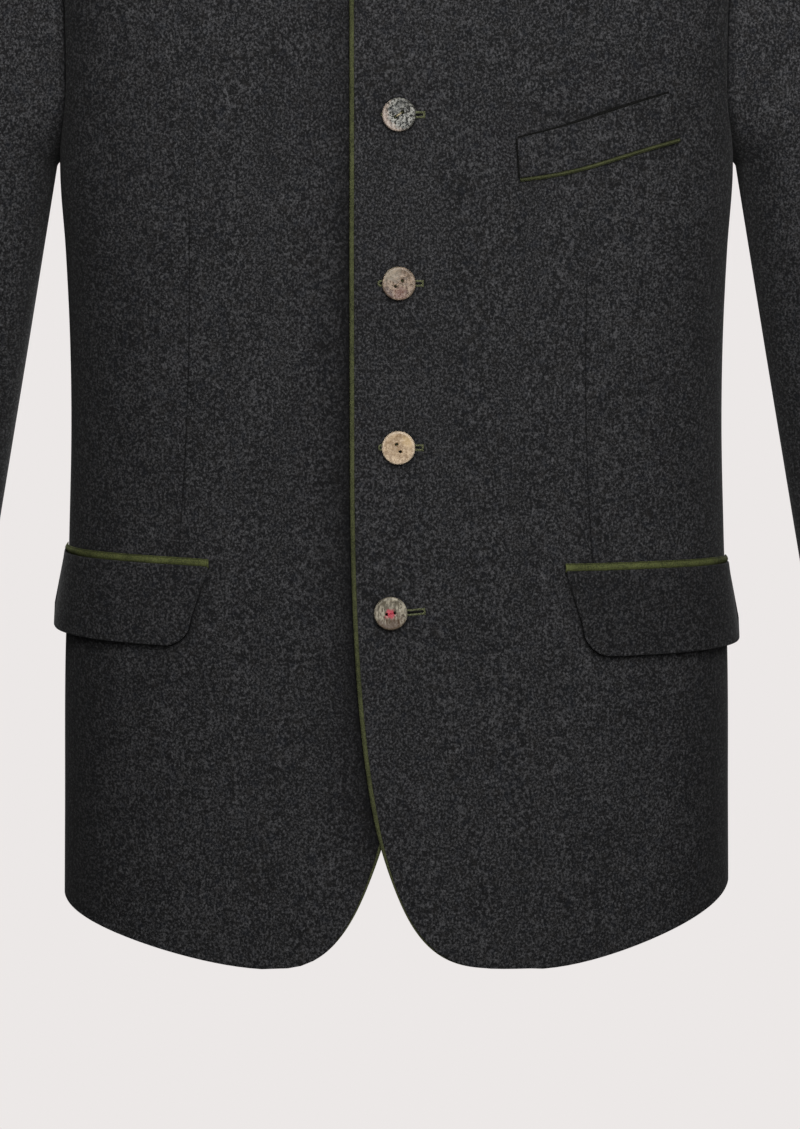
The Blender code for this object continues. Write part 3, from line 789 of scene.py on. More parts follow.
@dataclass(frozen=True)
class Torso:
    """The surface that the body panels lie on.

    The angle goes round the body: -90 degrees at the front, 0 at the left side seam, 90 at the back. The
    level is metres below the chest line where it is negative, and above it the share of the way over the
    shoulder. Up to the chest a section is a rounded rectangle, |x / a|^n + |y / b|^n = 1. Above it each
    angle goes on in an arc that ends on the shoulder line.
    """

    chest_z: float = -0.235
    sections: tuple[tuple[float, ...], ...] = (
        # z, half width, front depth, back depth, squareness
        (-0.760, 0.2188, 0.1280, 0.1250, 2.40),
        (-0.650, 0.2176, 0.1260, 0.1230, 2.45),
        (-0.560, 0.2166, 0.1240, 0.1190, 2.55),
        (-0.470, 0.2132, 0.1220, 0.1120, 2.65),
        (-0.400, 0.2114, 0.1210, 0.1090, 2.75),
        (-0.345, 0.2118, 0.1210, 0.1130, 2.90),
        (-0.290, 0.2138, 0.1210, 0.1170, 3.20),
        (-0.235, 0.2168, 0.1200, 0.1180, 3.60),
    )
    neck_x: float = 0.070
    shoulder_x: float = 0.2145
    shoulder_z: float = -0.045
    ridge_middle_z: float = 0.020
    ridge_round_x: float = 0.045
    front_neck_drop: float = 0.557
    back_neck_drop: float = 0.170
    middle_fullness: float = 0.25
    shoulder_fullness: float = 0.75
    armhole_angle: float = math.radians(16.5)
    armhole_scoop: float = 0.28
    armhole_lean_from: float = 0.35
    lap_from_x: float = 0.016
    lap_to_x: float = 0.060

    @cached_property
    def table(self) -> tuple[Array, Array, Array]:
        """Heights, sizes and slopes of the sections, from the lowest up."""
        rows = np.array(self.sections)
        slopes = np.gradient(rows[:, 1:], rows[:, 0], axis=0)
        slopes[-1] = 0.0
        return rows[:, 0], rows[:, 1:], slopes

    @property
    def half_chest(self) -> float:
        """Half the width at the chest line."""
        return self.sections[-1][1]

    @property
    def seam_angle(self) -> float:
        """Angle of half a seam gap at the side seam."""
        return SEAM / (2 * self.half_chest)

    def section(self, z: Array) -> Array:
        """Sizes of the body at heights, on a cubic through the table's rows.

        Args:
            z: the heights.

        Returns:
            Half widths, front depths, back depths and squarenesses.
        """
        heights, sizes, slopes = self.table
        z = np.clip(z, heights[0], heights[-1])
        low = np.clip(np.searchsorted(heights, z, side="right") - 1, 0, len(heights) - 2)
        span = (heights[low + 1] - heights[low])[..., None]
        t = (z - heights[low])[..., None] / span
        made = (sizes[low] * (2 * t**3 - 3 * t**2 + 1) + slopes[low] * span * (t**3 - 2 * t**2 + t)
                + sizes[low + 1] * (3 * t**2 - 2 * t**3) + slopes[low + 1] * span * (t**3 - t**2))
        return np.moveaxis(made, -1, 0)

    def ridge(self, x: Array) -> Array:
        """Height of the shoulder line: a parabola through neck and shoulder, round in the middle.

        Args:
            x: distances from the middle.

        Returns:
            One height for each distance.
        """
        round_x = self.ridge_round_x
        far, neck, end = (np.hypot(at, round_x) - round_x for at in (x, self.neck_x, self.shoulder_x))
        neck_slope = -self.ridge_middle_z / neck
        end_slope = (self.shoulder_z - self.ridge_middle_z) / end
        bend = (end_slope - neck_slope) / (end - neck)
        return self.ridge_middle_z + (neck_slope - bend * neck) * far + bend * far * far

    def point(self, angle: Array, level: Array) -> Array:
        """Points of the surface.

        Args:
            angle, level: their places.

        Returns:
            One point for each place.
        """
        angle, level = np.broadcast_arrays(np.asarray(angle, float), np.asarray(level, float))
        below = np.minimum(level, 0.0)
        half_width, front, back, square = self.section(self.chest_z + below)
        depth = np.where(np.sin(angle) < 0.0, front, back)
        radius = (np.abs(np.cos(angle) / half_width) ** square
                  + np.abs(np.sin(angle) / depth) ** square) ** (-1.0 / square)
        x, y = radius * np.cos(angle), radius * np.sin(angle)
        over = np.clip(level, 0.0, 1.0) * math.pi / 2
        fullness = between(self.middle_fullness, self.shoulder_fullness, (x / self.shoulder_x) ** 2)
        y = y * np.cos(over) * (1.0 + fullness * np.sin(over) ** 2)
        z = self.chest_z + below + (self.ridge(x) - self.chest_z) * np.sin(over)
        return np.stack([x, y, z], axis=-1)

    def points(self, places: Array) -> Array:
        """Points of the surface at places of angle and level."""
        return self.point(places[..., 0], places[..., 1])

    def normal(self, angle: Array, level: Array) -> Array:
        """Outward normals of the surface, from small steps along both coordinates."""
        across = self.point(angle + CHART_STEP, level) - self.point(angle - CHART_STEP, level)
        up = self.point(angle, level + CHART_STEP) - self.point(angle, level - CHART_STEP)
        return unit(np.cross(across, up))

    def laid(self, places: Array, height: Array | float) -> Array:
        """Points at a height over the surface, from places of angle and level."""
        angle, level = places[..., 0], places[..., 1]
        raised = np.broadcast_to(height, angle.shape)[..., None]
        return self.point(angle, level) + self.normal(angle, level) * raised

    def cloth(self, places: Array, top: Array | float, low: Array | float, bulge: Array | float,
              side: Side = Side.LEFT) -> Shape:
        """A wall of cloth on places, between two heights over the surface."""
        return wall(self.laid(places, top), self.laid(places, low), bulge, side)

    def lap(self, x: Array) -> Array:
        """How far the overlapping front stands off the body: full at the lap, nothing further out."""
        return LAP_LIFT * (1.0 - smooth((x - self.lap_from_x) / (self.lap_to_x - self.lap_from_x)))

    def on_lap(self, places: Array, height: Array | float) -> Array:
        """Points at a height over the overlapping front."""
        return self.laid(places, self.lap(self.points(places)[..., 0]) + height)

    def level_place(self, angle: Array, z: Array) -> Array:
        """Places below the chest line at angles and heights."""
        return np.stack([angle, z - self.chest_z], axis=-1)

    def chest_angle(self, x: Array, back: bool = False) -> Array:
        """Angle of x on the section at the chest line."""
        half_width, front, rear, square = self.section(np.full(np.shape(x), self.chest_z))
        reach = np.maximum(1.0 - (np.abs(x) / half_width) ** square, 0.0) ** (1.0 / square)
        return np.arctan2(rear * reach if back else -front * reach, x)

    def front_place(self, x: Array, z: Array) -> Array:
        """Places on the front, which point() puts at the same x and z.

        Args:
            x, z: where the points are, seen from the front.

        Returns:
            One place for each point.
        """
        x, z = np.broadcast_arrays(np.asarray(x, float), np.asarray(z, float))
        half_width, depth, _, square = self.section(z)
        reach = np.maximum(1.0 - (np.abs(x) / half_width) ** square, 0.0) ** (1.0 / square)
        rise = np.clip((z - self.chest_z) / (self.ridge(x) - self.chest_z), 0.0, 1.0)
        level = np.where(z > self.chest_z, np.arcsin(rise) * 2 / math.pi, z - self.chest_z)
        return np.stack([np.arctan2(-depth * reach, x), level], axis=-1)

    def armhole(self, share: Array, back: bool = False) -> Array:
        """Places of the armhole at shares of its height, 0 at the underarm and 1 at the shoulder point.

        Args:
            share: the shares.
            back: True for its back half.

        Returns:
            One place for each share. Its angle scoops out from the underarm, then leans to the shoulder.
        """
        tip = np.abs(self.chest_angle(np.array(self.shoulder_x), back))
        scoop = np.sqrt(1.0 - (1.0 - np.clip(share / self.armhole_scoop, 0.0, 1.0)) ** 2)
        lean = smooth((share - self.armhole_lean_from) / (1.0 - self.armhole_lean_from))
        angle = scoop * between(self.armhole_angle, tip, lean) * (1.0 if back else -1.0)
        x = self.point(angle, np.zeros_like(angle))[..., 0]
        rise = share * (self.shoulder_z - self.chest_z) / (self.ridge(x) - self.chest_z)
        return np.stack([angle, np.arcsin(np.clip(rise, 0.0, 1.0)) * 2 / math.pi], axis=-1)

    def shoulder(self, x: Array, back: bool = False) -> Array:
        """Places along the shoulder seam, half a seam gap from its line."""
        angle = self.chest_angle(x, back)
        depth = np.abs(self.point(angle, np.zeros_like(angle))[..., 1])
        return np.stack([angle, 1.0 - SEAM / (math.pi * depth)], axis=-1)

    def neck(self, x: Array, back: bool = False) -> Array:
        """Places along the neckline, an arc of an ellipse between the neck points."""
        reach = np.sqrt(np.clip(1.0 - (x / self.neck_x) ** 2, 0.0, 1.0))
        drop = self.back_neck_drop if back else self.front_neck_drop
        return np.stack([self.chest_angle(x, back), 1.0 - drop * reach], axis=-1)

    def front_neck(self, edge_x: float, skipped: float = 0.0, count: int = BORDER_POINTS) -> Array:
        """Places of a front's neckline up to the neck point, evenly round its ellipse.

        Args:
            edge_x: the x of the front's edge.
            skipped: share of the way in from the edge that is left out.
            count: how many places.

        Returns:
            The places.
        """
        edge, tip = math.asin(edge_x / self.neck_x), math.pi / 2
        turn = np.linspace(between(edge, tip, skipped), tip, count)
        return self.neck(self.neck_x * np.sin(turn))

    def back_neck(self, count: int = BORDER_POINTS) -> Array:
        """Places of the back's neckline, from its left neck point to the right one."""
        turn = np.linspace(math.pi / 2, -math.pi / 2, count)
        return self.neck(self.neck_x * np.sin(turn), True)


TORSO = Torso()


@dataclass(frozen=True)
class Dart:
    """A dart sewn into a front: a fine line down the panel with a soft trough along it."""

    top: Pair
    middle: Pair
    low: Pair
    trough_width: float = 0.0040
    trough_depth: float = 0.0003
    end_growth: float = 0.5

    def across(self, z: Array) -> Array:
        """The line: the parabola through its three points, upright past its ends.

        Args:
            z: heights.

        Returns:
            The x of the line at each height.
        """
        (x0, z0), (x1, z1), (x2, z2) = self.top, self.middle, self.low
        z = np.clip(z, z2, z0)
        first = x0 * (z - z1) * (z - z2) / ((z0 - z1) * (z0 - z2))
        second = x1 * (z - z0) * (z - z2) / ((z1 - z0) * (z1 - z2))
        return first + second + x2 * (z - z0) * (z - z1) / ((z2 - z0) * (z2 - z1))

    def distance(self, x: Array, z: Array) -> Array:
        """Distance from the line to the right, growing past its ends."""
        past = np.maximum(z - self.top[1], 0.0) + np.maximum(self.low[1] - z, 0.0)
        aside = x - self.across(z)
        return aside + np.where(aside < 0.0, -past, past) * self.end_growth

    def height(self, x: Array, z: Array) -> Array:
        """Depth of the soft trough along the line."""
        return -self.trough_depth * bell(self.distance(x, z), self.trough_width)


@dataclass(frozen=True)
class FrontPanel:
    """A front with a rounded cutaway, a dart and the corded edge.

    The painted shades come in pairs, for the upper and the lower part of the front.
    """

    side: Side
    edge_x: float
    cut_start_z: float
    low_x: float
    cut_fullness: float
    cut_droop: float
    side_hem_z: float
    dart: Dart
    creases: tuple[Crease, ...]
    flat: Pair
    flat_area: float
    painted_side_shade: Pair
    under: FrontPanel | None = None
    low_hem_z: float = -0.7420
    hem_bend: float = 0.9
    columns: int = 100
    lower_rows: int = 150
    upper_rows: int = 84
    piping_width: float = 0.0034
    piping_thickness: float = 0.0026
    piping_overlap: float = 0.0003
    piping_step: float = 0.0022
    piping_sides: int = 12
    thin_from_z: float = -0.638
    thin_to_z: float = -0.700
    thin_size: float = 0.50
    thin_sink: float = 0.0005
    end_share: float = 0.12
    end_size: float = 0.06
    # How light the panel is drawn: a plain tone, painted shade towards the side seam and a painted shadow
    # along the edge of the front that laps over it.
    plain_tone: float = 0.88
    shade_from_x: float = 0.165
    shade_run: float = 0.045
    shade_from_z: float = -0.50
    painted_lap_shadow: Pair = (0.48, 0.83)
    painted_lap_shadow_from_z: float = -0.20
    painted_lap_shadow_reach: float = 0.013
    shade_fall: float = 0.15

    @property
    def name(self) -> str:
        """The front's node."""
        return f"front_{self.side.word}"

    def laid(self, places: Array, height: Array | float) -> Array:
        """Points at a height over this front. The one that goes in under the other lies on the body."""
        return TORSO.on_lap(places, height) if self.under is None else TORSO.laid(places, height)

    @cached_property
    def cutaway(self) -> Array:
        """Places down the rounded corner, a quarter of |x / a|^n + |z / b|^m = 1, to the lowest point."""
        turn = np.linspace(0.0, math.pi / 2, BORDER_POINTS)
        x = between(self.low_x, self.edge_x, np.cos(turn) ** (2.0 / self.cut_fullness))
        z = between(self.cut_start_z, self.low_hem_z, np.sin(turn) ** (2.0 / self.cut_droop))
        return TORSO.front_place(x, z)

    @cached_property
    def places(self) -> Array:
        """Grid of places of the panel, its bottom row round the cutaway and along the hem."""
        across = tightened(self.columns)
        low_angle = self.cutaway[-1, 0]
        hem_angle = np.linspace(low_angle, -TORSO.seam_angle, BORDER_POINTS)[1:]
        fall = smooth((hem_angle / low_angle) ** self.hem_bend)
        hem = TORSO.level_place(hem_angle, between(self.side_hem_z, self.low_hem_z, fall))
        bottom = np.concatenate([self.cutaway, hem])
        bottom = at_shares(bottom, TORSO.points(bottom), across)
        edge_angle = TORSO.chest_angle(np.array(self.edge_x))
        chest = np.stack([between(edge_angle, -TORSO.seam_angle, across), np.zeros_like(across)], axis=-1)
        shoulder = TORSO.shoulder(np.linspace(TORSO.neck_x, TORSO.shoulder_x, BORDER_POINTS))
        top = np.concatenate([TORSO.front_neck(self.edge_x)[:-1], shoulder])
        top = at_shares(top, TORSO.points(top), across)
        rise = np.linspace(0.0, 1.0, self.upper_rows + 1)
        edge = between(chest[0], top[0], rise[:, None])
        arm = TORSO.armhole((1.0 - np.cos(math.pi * rise)) / 2)
        arm[0], arm[-1] = chest[-1], top[-1]
        upper = coons(chest, top, edge, arm, across, rise)
        return np.concatenate([ruled(bottom, chest, self.lower_rows), upper[1:]])

    def relief(self, flat: Array) -> Array:
        """Height of creases, dart and sewn edges over the plain panel.

        Args:
            flat: the panel's plain points.

        Returns:
            One height for each point.
        """
        x, z = flat[..., 0], flat[..., 2]
        run, climb = run_along(flat, 1), run_along(flat, 0)
        dive = bell(run[:, -1:] - run, SEAM_REACH) + bell(climb[-1:] - climb, SEAM_REACH)
        return creased(self.creases, x, z) + self.dart.height(x, z) - SEAM_DIVE * np.minimum(dive, 1.0)

    def edge_at(self, z: Array) -> Array:
        """The x of the panel's front edge at heights."""
        line = TORSO.points(self.cutaway[::-1])
        return np.interp(z, line[:, 2], line[:, 0])

    def tone(self, flat: Array) -> Array:
        """How light the panel is drawn: painted shade darker to the side seam, and a painted shadow along
        the edge of a front that laps over it.

        Args:
            flat: the panel's plain points.

        Returns:
            One tone for each point.
        """
        x, z = flat[..., 0], flat[..., 2]
        # Painted shade towards the side seam, stronger in the lower part.
        shade = between(*self.painted_side_shade, smooth((self.shade_from_z - z) / self.shade_fall))
        plain = self.plain_tone * (1.0 - shade * smooth((x - self.shade_from_x) / self.shade_run))
        if self.under is None:
            return plain
        # Painted shadow of the overlapping front's edge, fading away from it.
        away = np.maximum(x + self.under.edge_at(z) - self.piping_width, 0.0)
        depth = between(*self.painted_lap_shadow, smooth((self.painted_lap_shadow_from_z - z) / self.shade_fall))
        return plain * (1.0 - depth * np.exp(-away / self.painted_lap_shadow_reach))

    def piping(self) -> Shape:
        """The cord round the edge: ellipses along the border, smaller to the hem and least at its end."""
        border = np.concatenate([self.places[::-1, 0], self.cutaway[1:]])
        line = self.laid(border, 0.0)
        shares = np.linspace(0.0, 1.0, int(run_along(line, 0)[-1] / self.piping_step))
        border = at_shares(border, line, shares)
        line, normal = self.laid(border, 0.0), TORSO.normal(*border.T)
        outward = unit(np.cross(np.gradient(line, axis=0), normal))
        thin = smooth((self.thin_from_z - line[:, 2]) / (self.thin_from_z - self.thin_to_z))[:, None]
        end = between(self.end_size, 1.0, smooth((1.0 - shares) / self.end_share))[:, None]
        size = between(1.0, self.thin_size, thin) * end
        turn = circle(self.piping_sides)
        reach = self.piping_width / 2 * size * (1.0 + np.cos(turn)) - self.piping_overlap
        height = self.piping_thickness / 2 * size * np.sin(turn) - WALL / 2 - self.thin_sink * thin
        return tube(swept(line, outward, normal, reach, height), self.side)

    def build(self, felt: Material, green: Material) -> None:
        """Makes the panel and its corded edge.

        Args:
            felt: the cloth's material.
            green: the cording's material.
        """
        flat = TORSO.points(self.places)
        relief = self.relief(flat)
        bulge = hem_bulge(flat)
        bulge[:np.count_nonzero(flat[0, :, 0] < self.low_x)] = SEWN_RIM
        outer, inner = self.laid(self.places, relief), self.laid(self.places, relief - WALL)
        shape = wall(outer, inner, bulge, self.side)
        away = self.dart.distance(flat[..., 0], flat[..., 2])
        panel = add_piece(f"{self.name}_cloth", shape, felt, Slot.LODEN, self.name, away, self.tone(flat))
        cord = add_piece(f"{self.name}_piping_felt", self.piping(), green, Slot.CORD, f"{self.name}_piping")


@dataclass(frozen=True)
class BackPanel:
    """The back in one piece, with soft folds over the waist and under the shoulder blades."""

    left_hem_z: float
    right_hem_z: float
    creases: tuple[Crease, ...]
    flat: Pair
    flat_area: float
    middle_hem_z: float = -0.699
    columns: int = 132
    lower_rows: int = 120
    upper_rows: int = 84

    @cached_property
    def places(self) -> Array:
        """Grid of places of the back, from the left side to the right one."""
        across = tightened(self.columns)
        angle = between(TORSO.seam_angle, math.pi - TORSO.seam_angle, across)
        side_z = between(self.left_hem_z, self.right_hem_z, smooth(angle / math.pi))
        hem = TORSO.level_place(angle, between(side_z, self.middle_hem_z, np.sin(angle) ** 2))
        chest = np.stack([angle, np.zeros_like(angle)], axis=-1)
        shoulder_x = np.linspace(TORSO.shoulder_x, TORSO.neck_x, BORDER_POINTS)
        left_top, right_top = TORSO.shoulder(shoulder_x, True), TORSO.shoulder(-shoulder_x[::-1], True)
        top = np.concatenate([left_top, TORSO.back_neck()[1:-1], right_top])
        top = at_shares(top, TORSO.points(top), across)
        rise = (1.0 - np.cos(np.linspace(0.0, math.pi, self.upper_rows + 1))) / 2
        left = TORSO.armhole(rise, True)
        left[0], left[-1] = chest[0], top[0]
        right = left * (-1.0, 1.0) + (math.pi, 0.0)
        upper = coons(chest, top, left, right, across, rise)
        return np.concatenate([ruled(hem, chest, self.lower_rows), upper[1:]])

    def build(self, felt: Material) -> None:
        """Makes the back, its edges sunk at the seams.

        Args:
            felt: the cloth's material.
        """
        flat = TORSO.points(self.places)
        run, climb = run_along(flat, 1), run_along(flat, 0)
        to_seam = np.minimum(np.minimum(run, run[:, -1:] - run), climb[-1:] - climb)
        relief = creased(self.creases, flat[..., 0], flat[..., 2]) - SEAM_DIVE * bell(to_seam, SEAM_REACH)
        shape = TORSO.cloth(self.places, relief, relief - WALL, hem_bulge(flat))
        panel = add_piece("back_cloth", shape, felt, Slot.LODEN, "back")


@dataclass(frozen=True)
class Sleeve:
    """A sleeve: rings that swing down about the underarm from the armhole, then go down the arm."""

    side: Side
    creases: tuple[Crease, ...]
    flat: Pair
    flat_area: float
    hang: float = math.radians(80.4)
    underarm_fold: float = 0.003
    clearance: float = 0.0006
    dip_ends: float = math.radians(45)
    head_fall: float = 2.1
    sections: tuple[tuple[float, ...], ...] = (
        # drop, across, depth, forward
        (0.000, 0.116, 0.138, 0.000),
        (0.120, 0.112, 0.130, 0.001),
        (0.240, 0.104, 0.120, -0.004),
        (0.340, 0.096, 0.110, -0.013),
        (0.430, 0.090, 0.100, -0.025),
    )
    sides: int = 116
    hang_rings: int = 56
    drop_rings: int = 124
    crease_radius: float = 0.062
    allowance_angle: float = 0.07
    allowance_gap: float = 0.0003
    allowance_wall: float = 0.0008
    allowance_ring: int = 2

    @property
    def name(self) -> str:
        """The sleeve's node."""
        return f"sleeve_{self.side.word}"

    @cached_property
    def turn(self) -> Array:
        """Angles round the sleeve: half a turn at the top, a quarter turn at the front."""
        return np.linspace(2 * math.pi, 0.0, self.sides, endpoint=False)

    @property
    def share(self) -> Array:
        """Shares of the height round the sleeve, 0 at the underarm and 1 at the top."""
        return (1.0 - np.cos(self.turn)) / 2

    def armhole(self) -> Array:
        """Places round the armhole, one for each angle."""
        front = (np.sin(self.turn) >= 0.0)[:, None]
        return np.where(front, TORSO.armhole(self.share), TORSO.armhole(self.share, True))

    def rings(self) -> Array:
        """Points of the plain sleeve, ring after ring.

        In the head a ring at the angle a of the swing lies at pivot + height * (sin a, cos a), and the
        first rings sink to the armhole. Below it the rings go straight down the arm at the full angle.
        """
        hole = TORSO.points(self.armhole())
        pivot_x, pivot_z = TORSO.half_chest + self.clearance, TORSO.chest_z - self.underarm_fold
        hole_height = TORSO.shoulder_z - TORSO.chest_z
        drop, across, depth, forward = np.array(self.sections).T
        swing = np.linspace(0.0, self.hang, self.hang_rings + 1)[:, None]
        part = swing / self.hang
        narrowing = 1.0 - (1.0 - part) ** self.head_fall
        height = self.underarm_fold + self.share * between(hole_height, across[0], narrowing)
        y = hole[:, 1] * (1 - smooth(part)) - depth[0] / 2 * np.sin(self.turn) * smooth(part)
        sunk = (hole[:, 0] + SEAM - pivot_x) * (1.0 - smooth(swing / self.dip_ends))
        x = pivot_x + height * np.sin(swing) + sunk * np.cos(swing)
        z = pivot_z + height * np.cos(swing) - sunk * np.sin(swing)
        head = np.stack([x, y, z], axis=-1)
        far = np.linspace(0.0, drop[-1], self.drop_rings + 1)[1:, None]
        height = self.underarm_fold + self.share * np.interp(far, drop, across)
        y = np.interp(far, drop, forward) - np.interp(far, drop, depth) / 2 * np.sin(self.turn)
        x = pivot_x + height * math.sin(self.hang) + far * math.cos(self.hang)
        z = pivot_z + height * math.cos(self.hang) - far * math.sin(self.hang)
        return np.concatenate([head, np.stack([x, y, z], axis=-1)])

    def seam_allowance(self, outer: Array, normal: Array) -> Shape:
        """The turned seam inside the armhole: a band from behind the panels' edges to behind the sleeve's.

        Args:
            outer: the sleeve's outer points.
            normal: its outward normals.

        Returns:
            The band's shape.
        """
        places = self.armhole()
        places[:, 0] -= np.where(np.sin(self.turn) >= 0.0, 1.0, -1.0) * self.allowance_angle
        rows = [0, self.allowance_ring]
        faces = []
        for depth in (WALL + self.allowance_gap, WALL + self.allowance_gap + self.allowance_wall):
            behind = outer[rows] - normal[rows] * depth
            faces.append(np.concatenate([TORSO.laid(places, -depth)[None], behind]))
        return wall(*faces, 0.0, self.side, ring=True)

    def build(self, felt: Material) -> None:
        """Makes the sleeve, sunk at the armhole's seam, and the seam inside it.

        Args:
            felt: the cloth's material.
        """
        rings = self.rings()
        around = np.roll(rings, -1, axis=1) - np.roll(rings, 1, axis=1)
        normal = np.cross(around, np.gradient(rings, axis=0))
        normal[0, :, 0] = 0.0
        normal = unit(normal)
        relief = creased(self.creases, self.crease_radius * self.turn, rings[..., 2])
        relief = relief - SEAM_DIVE * bell(run_along(rings, 0), SEAM_REACH)
        outer = rings + normal * relief[..., None]
        shape = wall(outer, outer - normal * WALL, FREE_RIM, self.side, ring=True)
        piece = add_piece(f"{self.name}_cloth", shape, felt, Slot.LODEN, self.name)
        seam = add_piece(f"{self.name}_seam", self.seam_allowance(outer, normal), felt, Slot.LODEN)
        f"front_{self.side.word}"


@dataclass(frozen=True)
class StandCollar:
    """The stand collar: a band that rises from the neckline and leans in to the neck."""

    left_edge_x: float
    right_edge_x: float
    flat: Pair
    flat_area: float
    height: float = 0.042
    thickness: float = 0.0024
    lean: float = 0.16
    corner: float = 0.016
    left_skip: float = 1 / 8
    right_skip: float = 2 / 8
    even_reach: float = 0.016
    even_ends: float = 0.060
    end_columns: float = 0.7
    columns: int = 168
    rows: int = 16
    border_points: int = 300

    def line(self) -> tuple[Array, Array]:
        """Neckline under the collar, from the right front round to the left one, and its normals."""
        right = TORSO.front_neck(self.right_edge_x, self.right_skip, self.border_points)
        left = TORSO.front_neck(self.left_edge_x, self.left_skip, self.border_points)[::-1]
        back = TORSO.back_neck(self.border_points)[-2:0:-1]
        points = [Side.RIGHT.placed(TORSO.laid(right, 0.0)), TORSO.laid(back, 0.0), TORSO.on_lap(left, 0.0)]
        right_out, back_out, left_out = (TORSO.normal(*places.T) for places in (right, back, left))
        normals = [Side.RIGHT.placed(right_out), back_out, left_out]
        line = np.concatenate(points)
        both = np.hstack([line, np.concatenate(normals)])
        spread = at_shares(both, line, tightened(self.columns, self.end_columns))
        return spread[:, :3], unit(spread[:, 3:])

    def evened(self, top: Array, run: Array) -> Array:
        """The top edge without its kinks: each place is the mean of its surroundings, not near the ends."""
        near = bell(run[:, None] - run, self.even_reach) * np.gradient(run)
        mean = near @ top / near.sum(axis=1, keepdims=True)
        return between(top, mean, smooth(np.minimum(run, run[-1] - run) / self.even_ends)[:, None])

    def build(self, felt: Material) -> None:
        """Makes the collar: lines up from the neckline to an even edge, shorter at the rounded corners.

        Args:
            felt: the cloth's material.
        """
        line, normal = self.line()
        along = unit(np.gradient(line, axis=0))
        inward = unit(np.cross(along, normal))
        up = unit(inward * (1.0, 1.0, 0.0) * self.lean + (0.0, 0.0, 1.0))
        outward = unit(np.cross(up, along))
        run = run_along(line, 0)
        height = self.height - rounded_corner(np.minimum(run, run[-1] - run), self.corner)
        share = tightened(self.rows)[:, None]
        low = line + inward * SEAM
        top = low + up * height[:, None]
        outer = low + up * (height * share)[..., None]
        outer = outer + (self.evened(top, run) - top) * (share * share)[..., None]
        facing = np.where(share[..., None] == 0.0, normal, outward)
        dive = SEAM_DIVE * bell(height * share, SEAM_REACH)
        inner = outer - facing * self.thickness
        outer = outer - facing * dive[..., None]
        shape = wall(outer[:, ::-1], inner[:, ::-1], FREE_RIM)
        piece = add_piece("collar_cloth", shape, felt, Slot.LODEN, "collar")


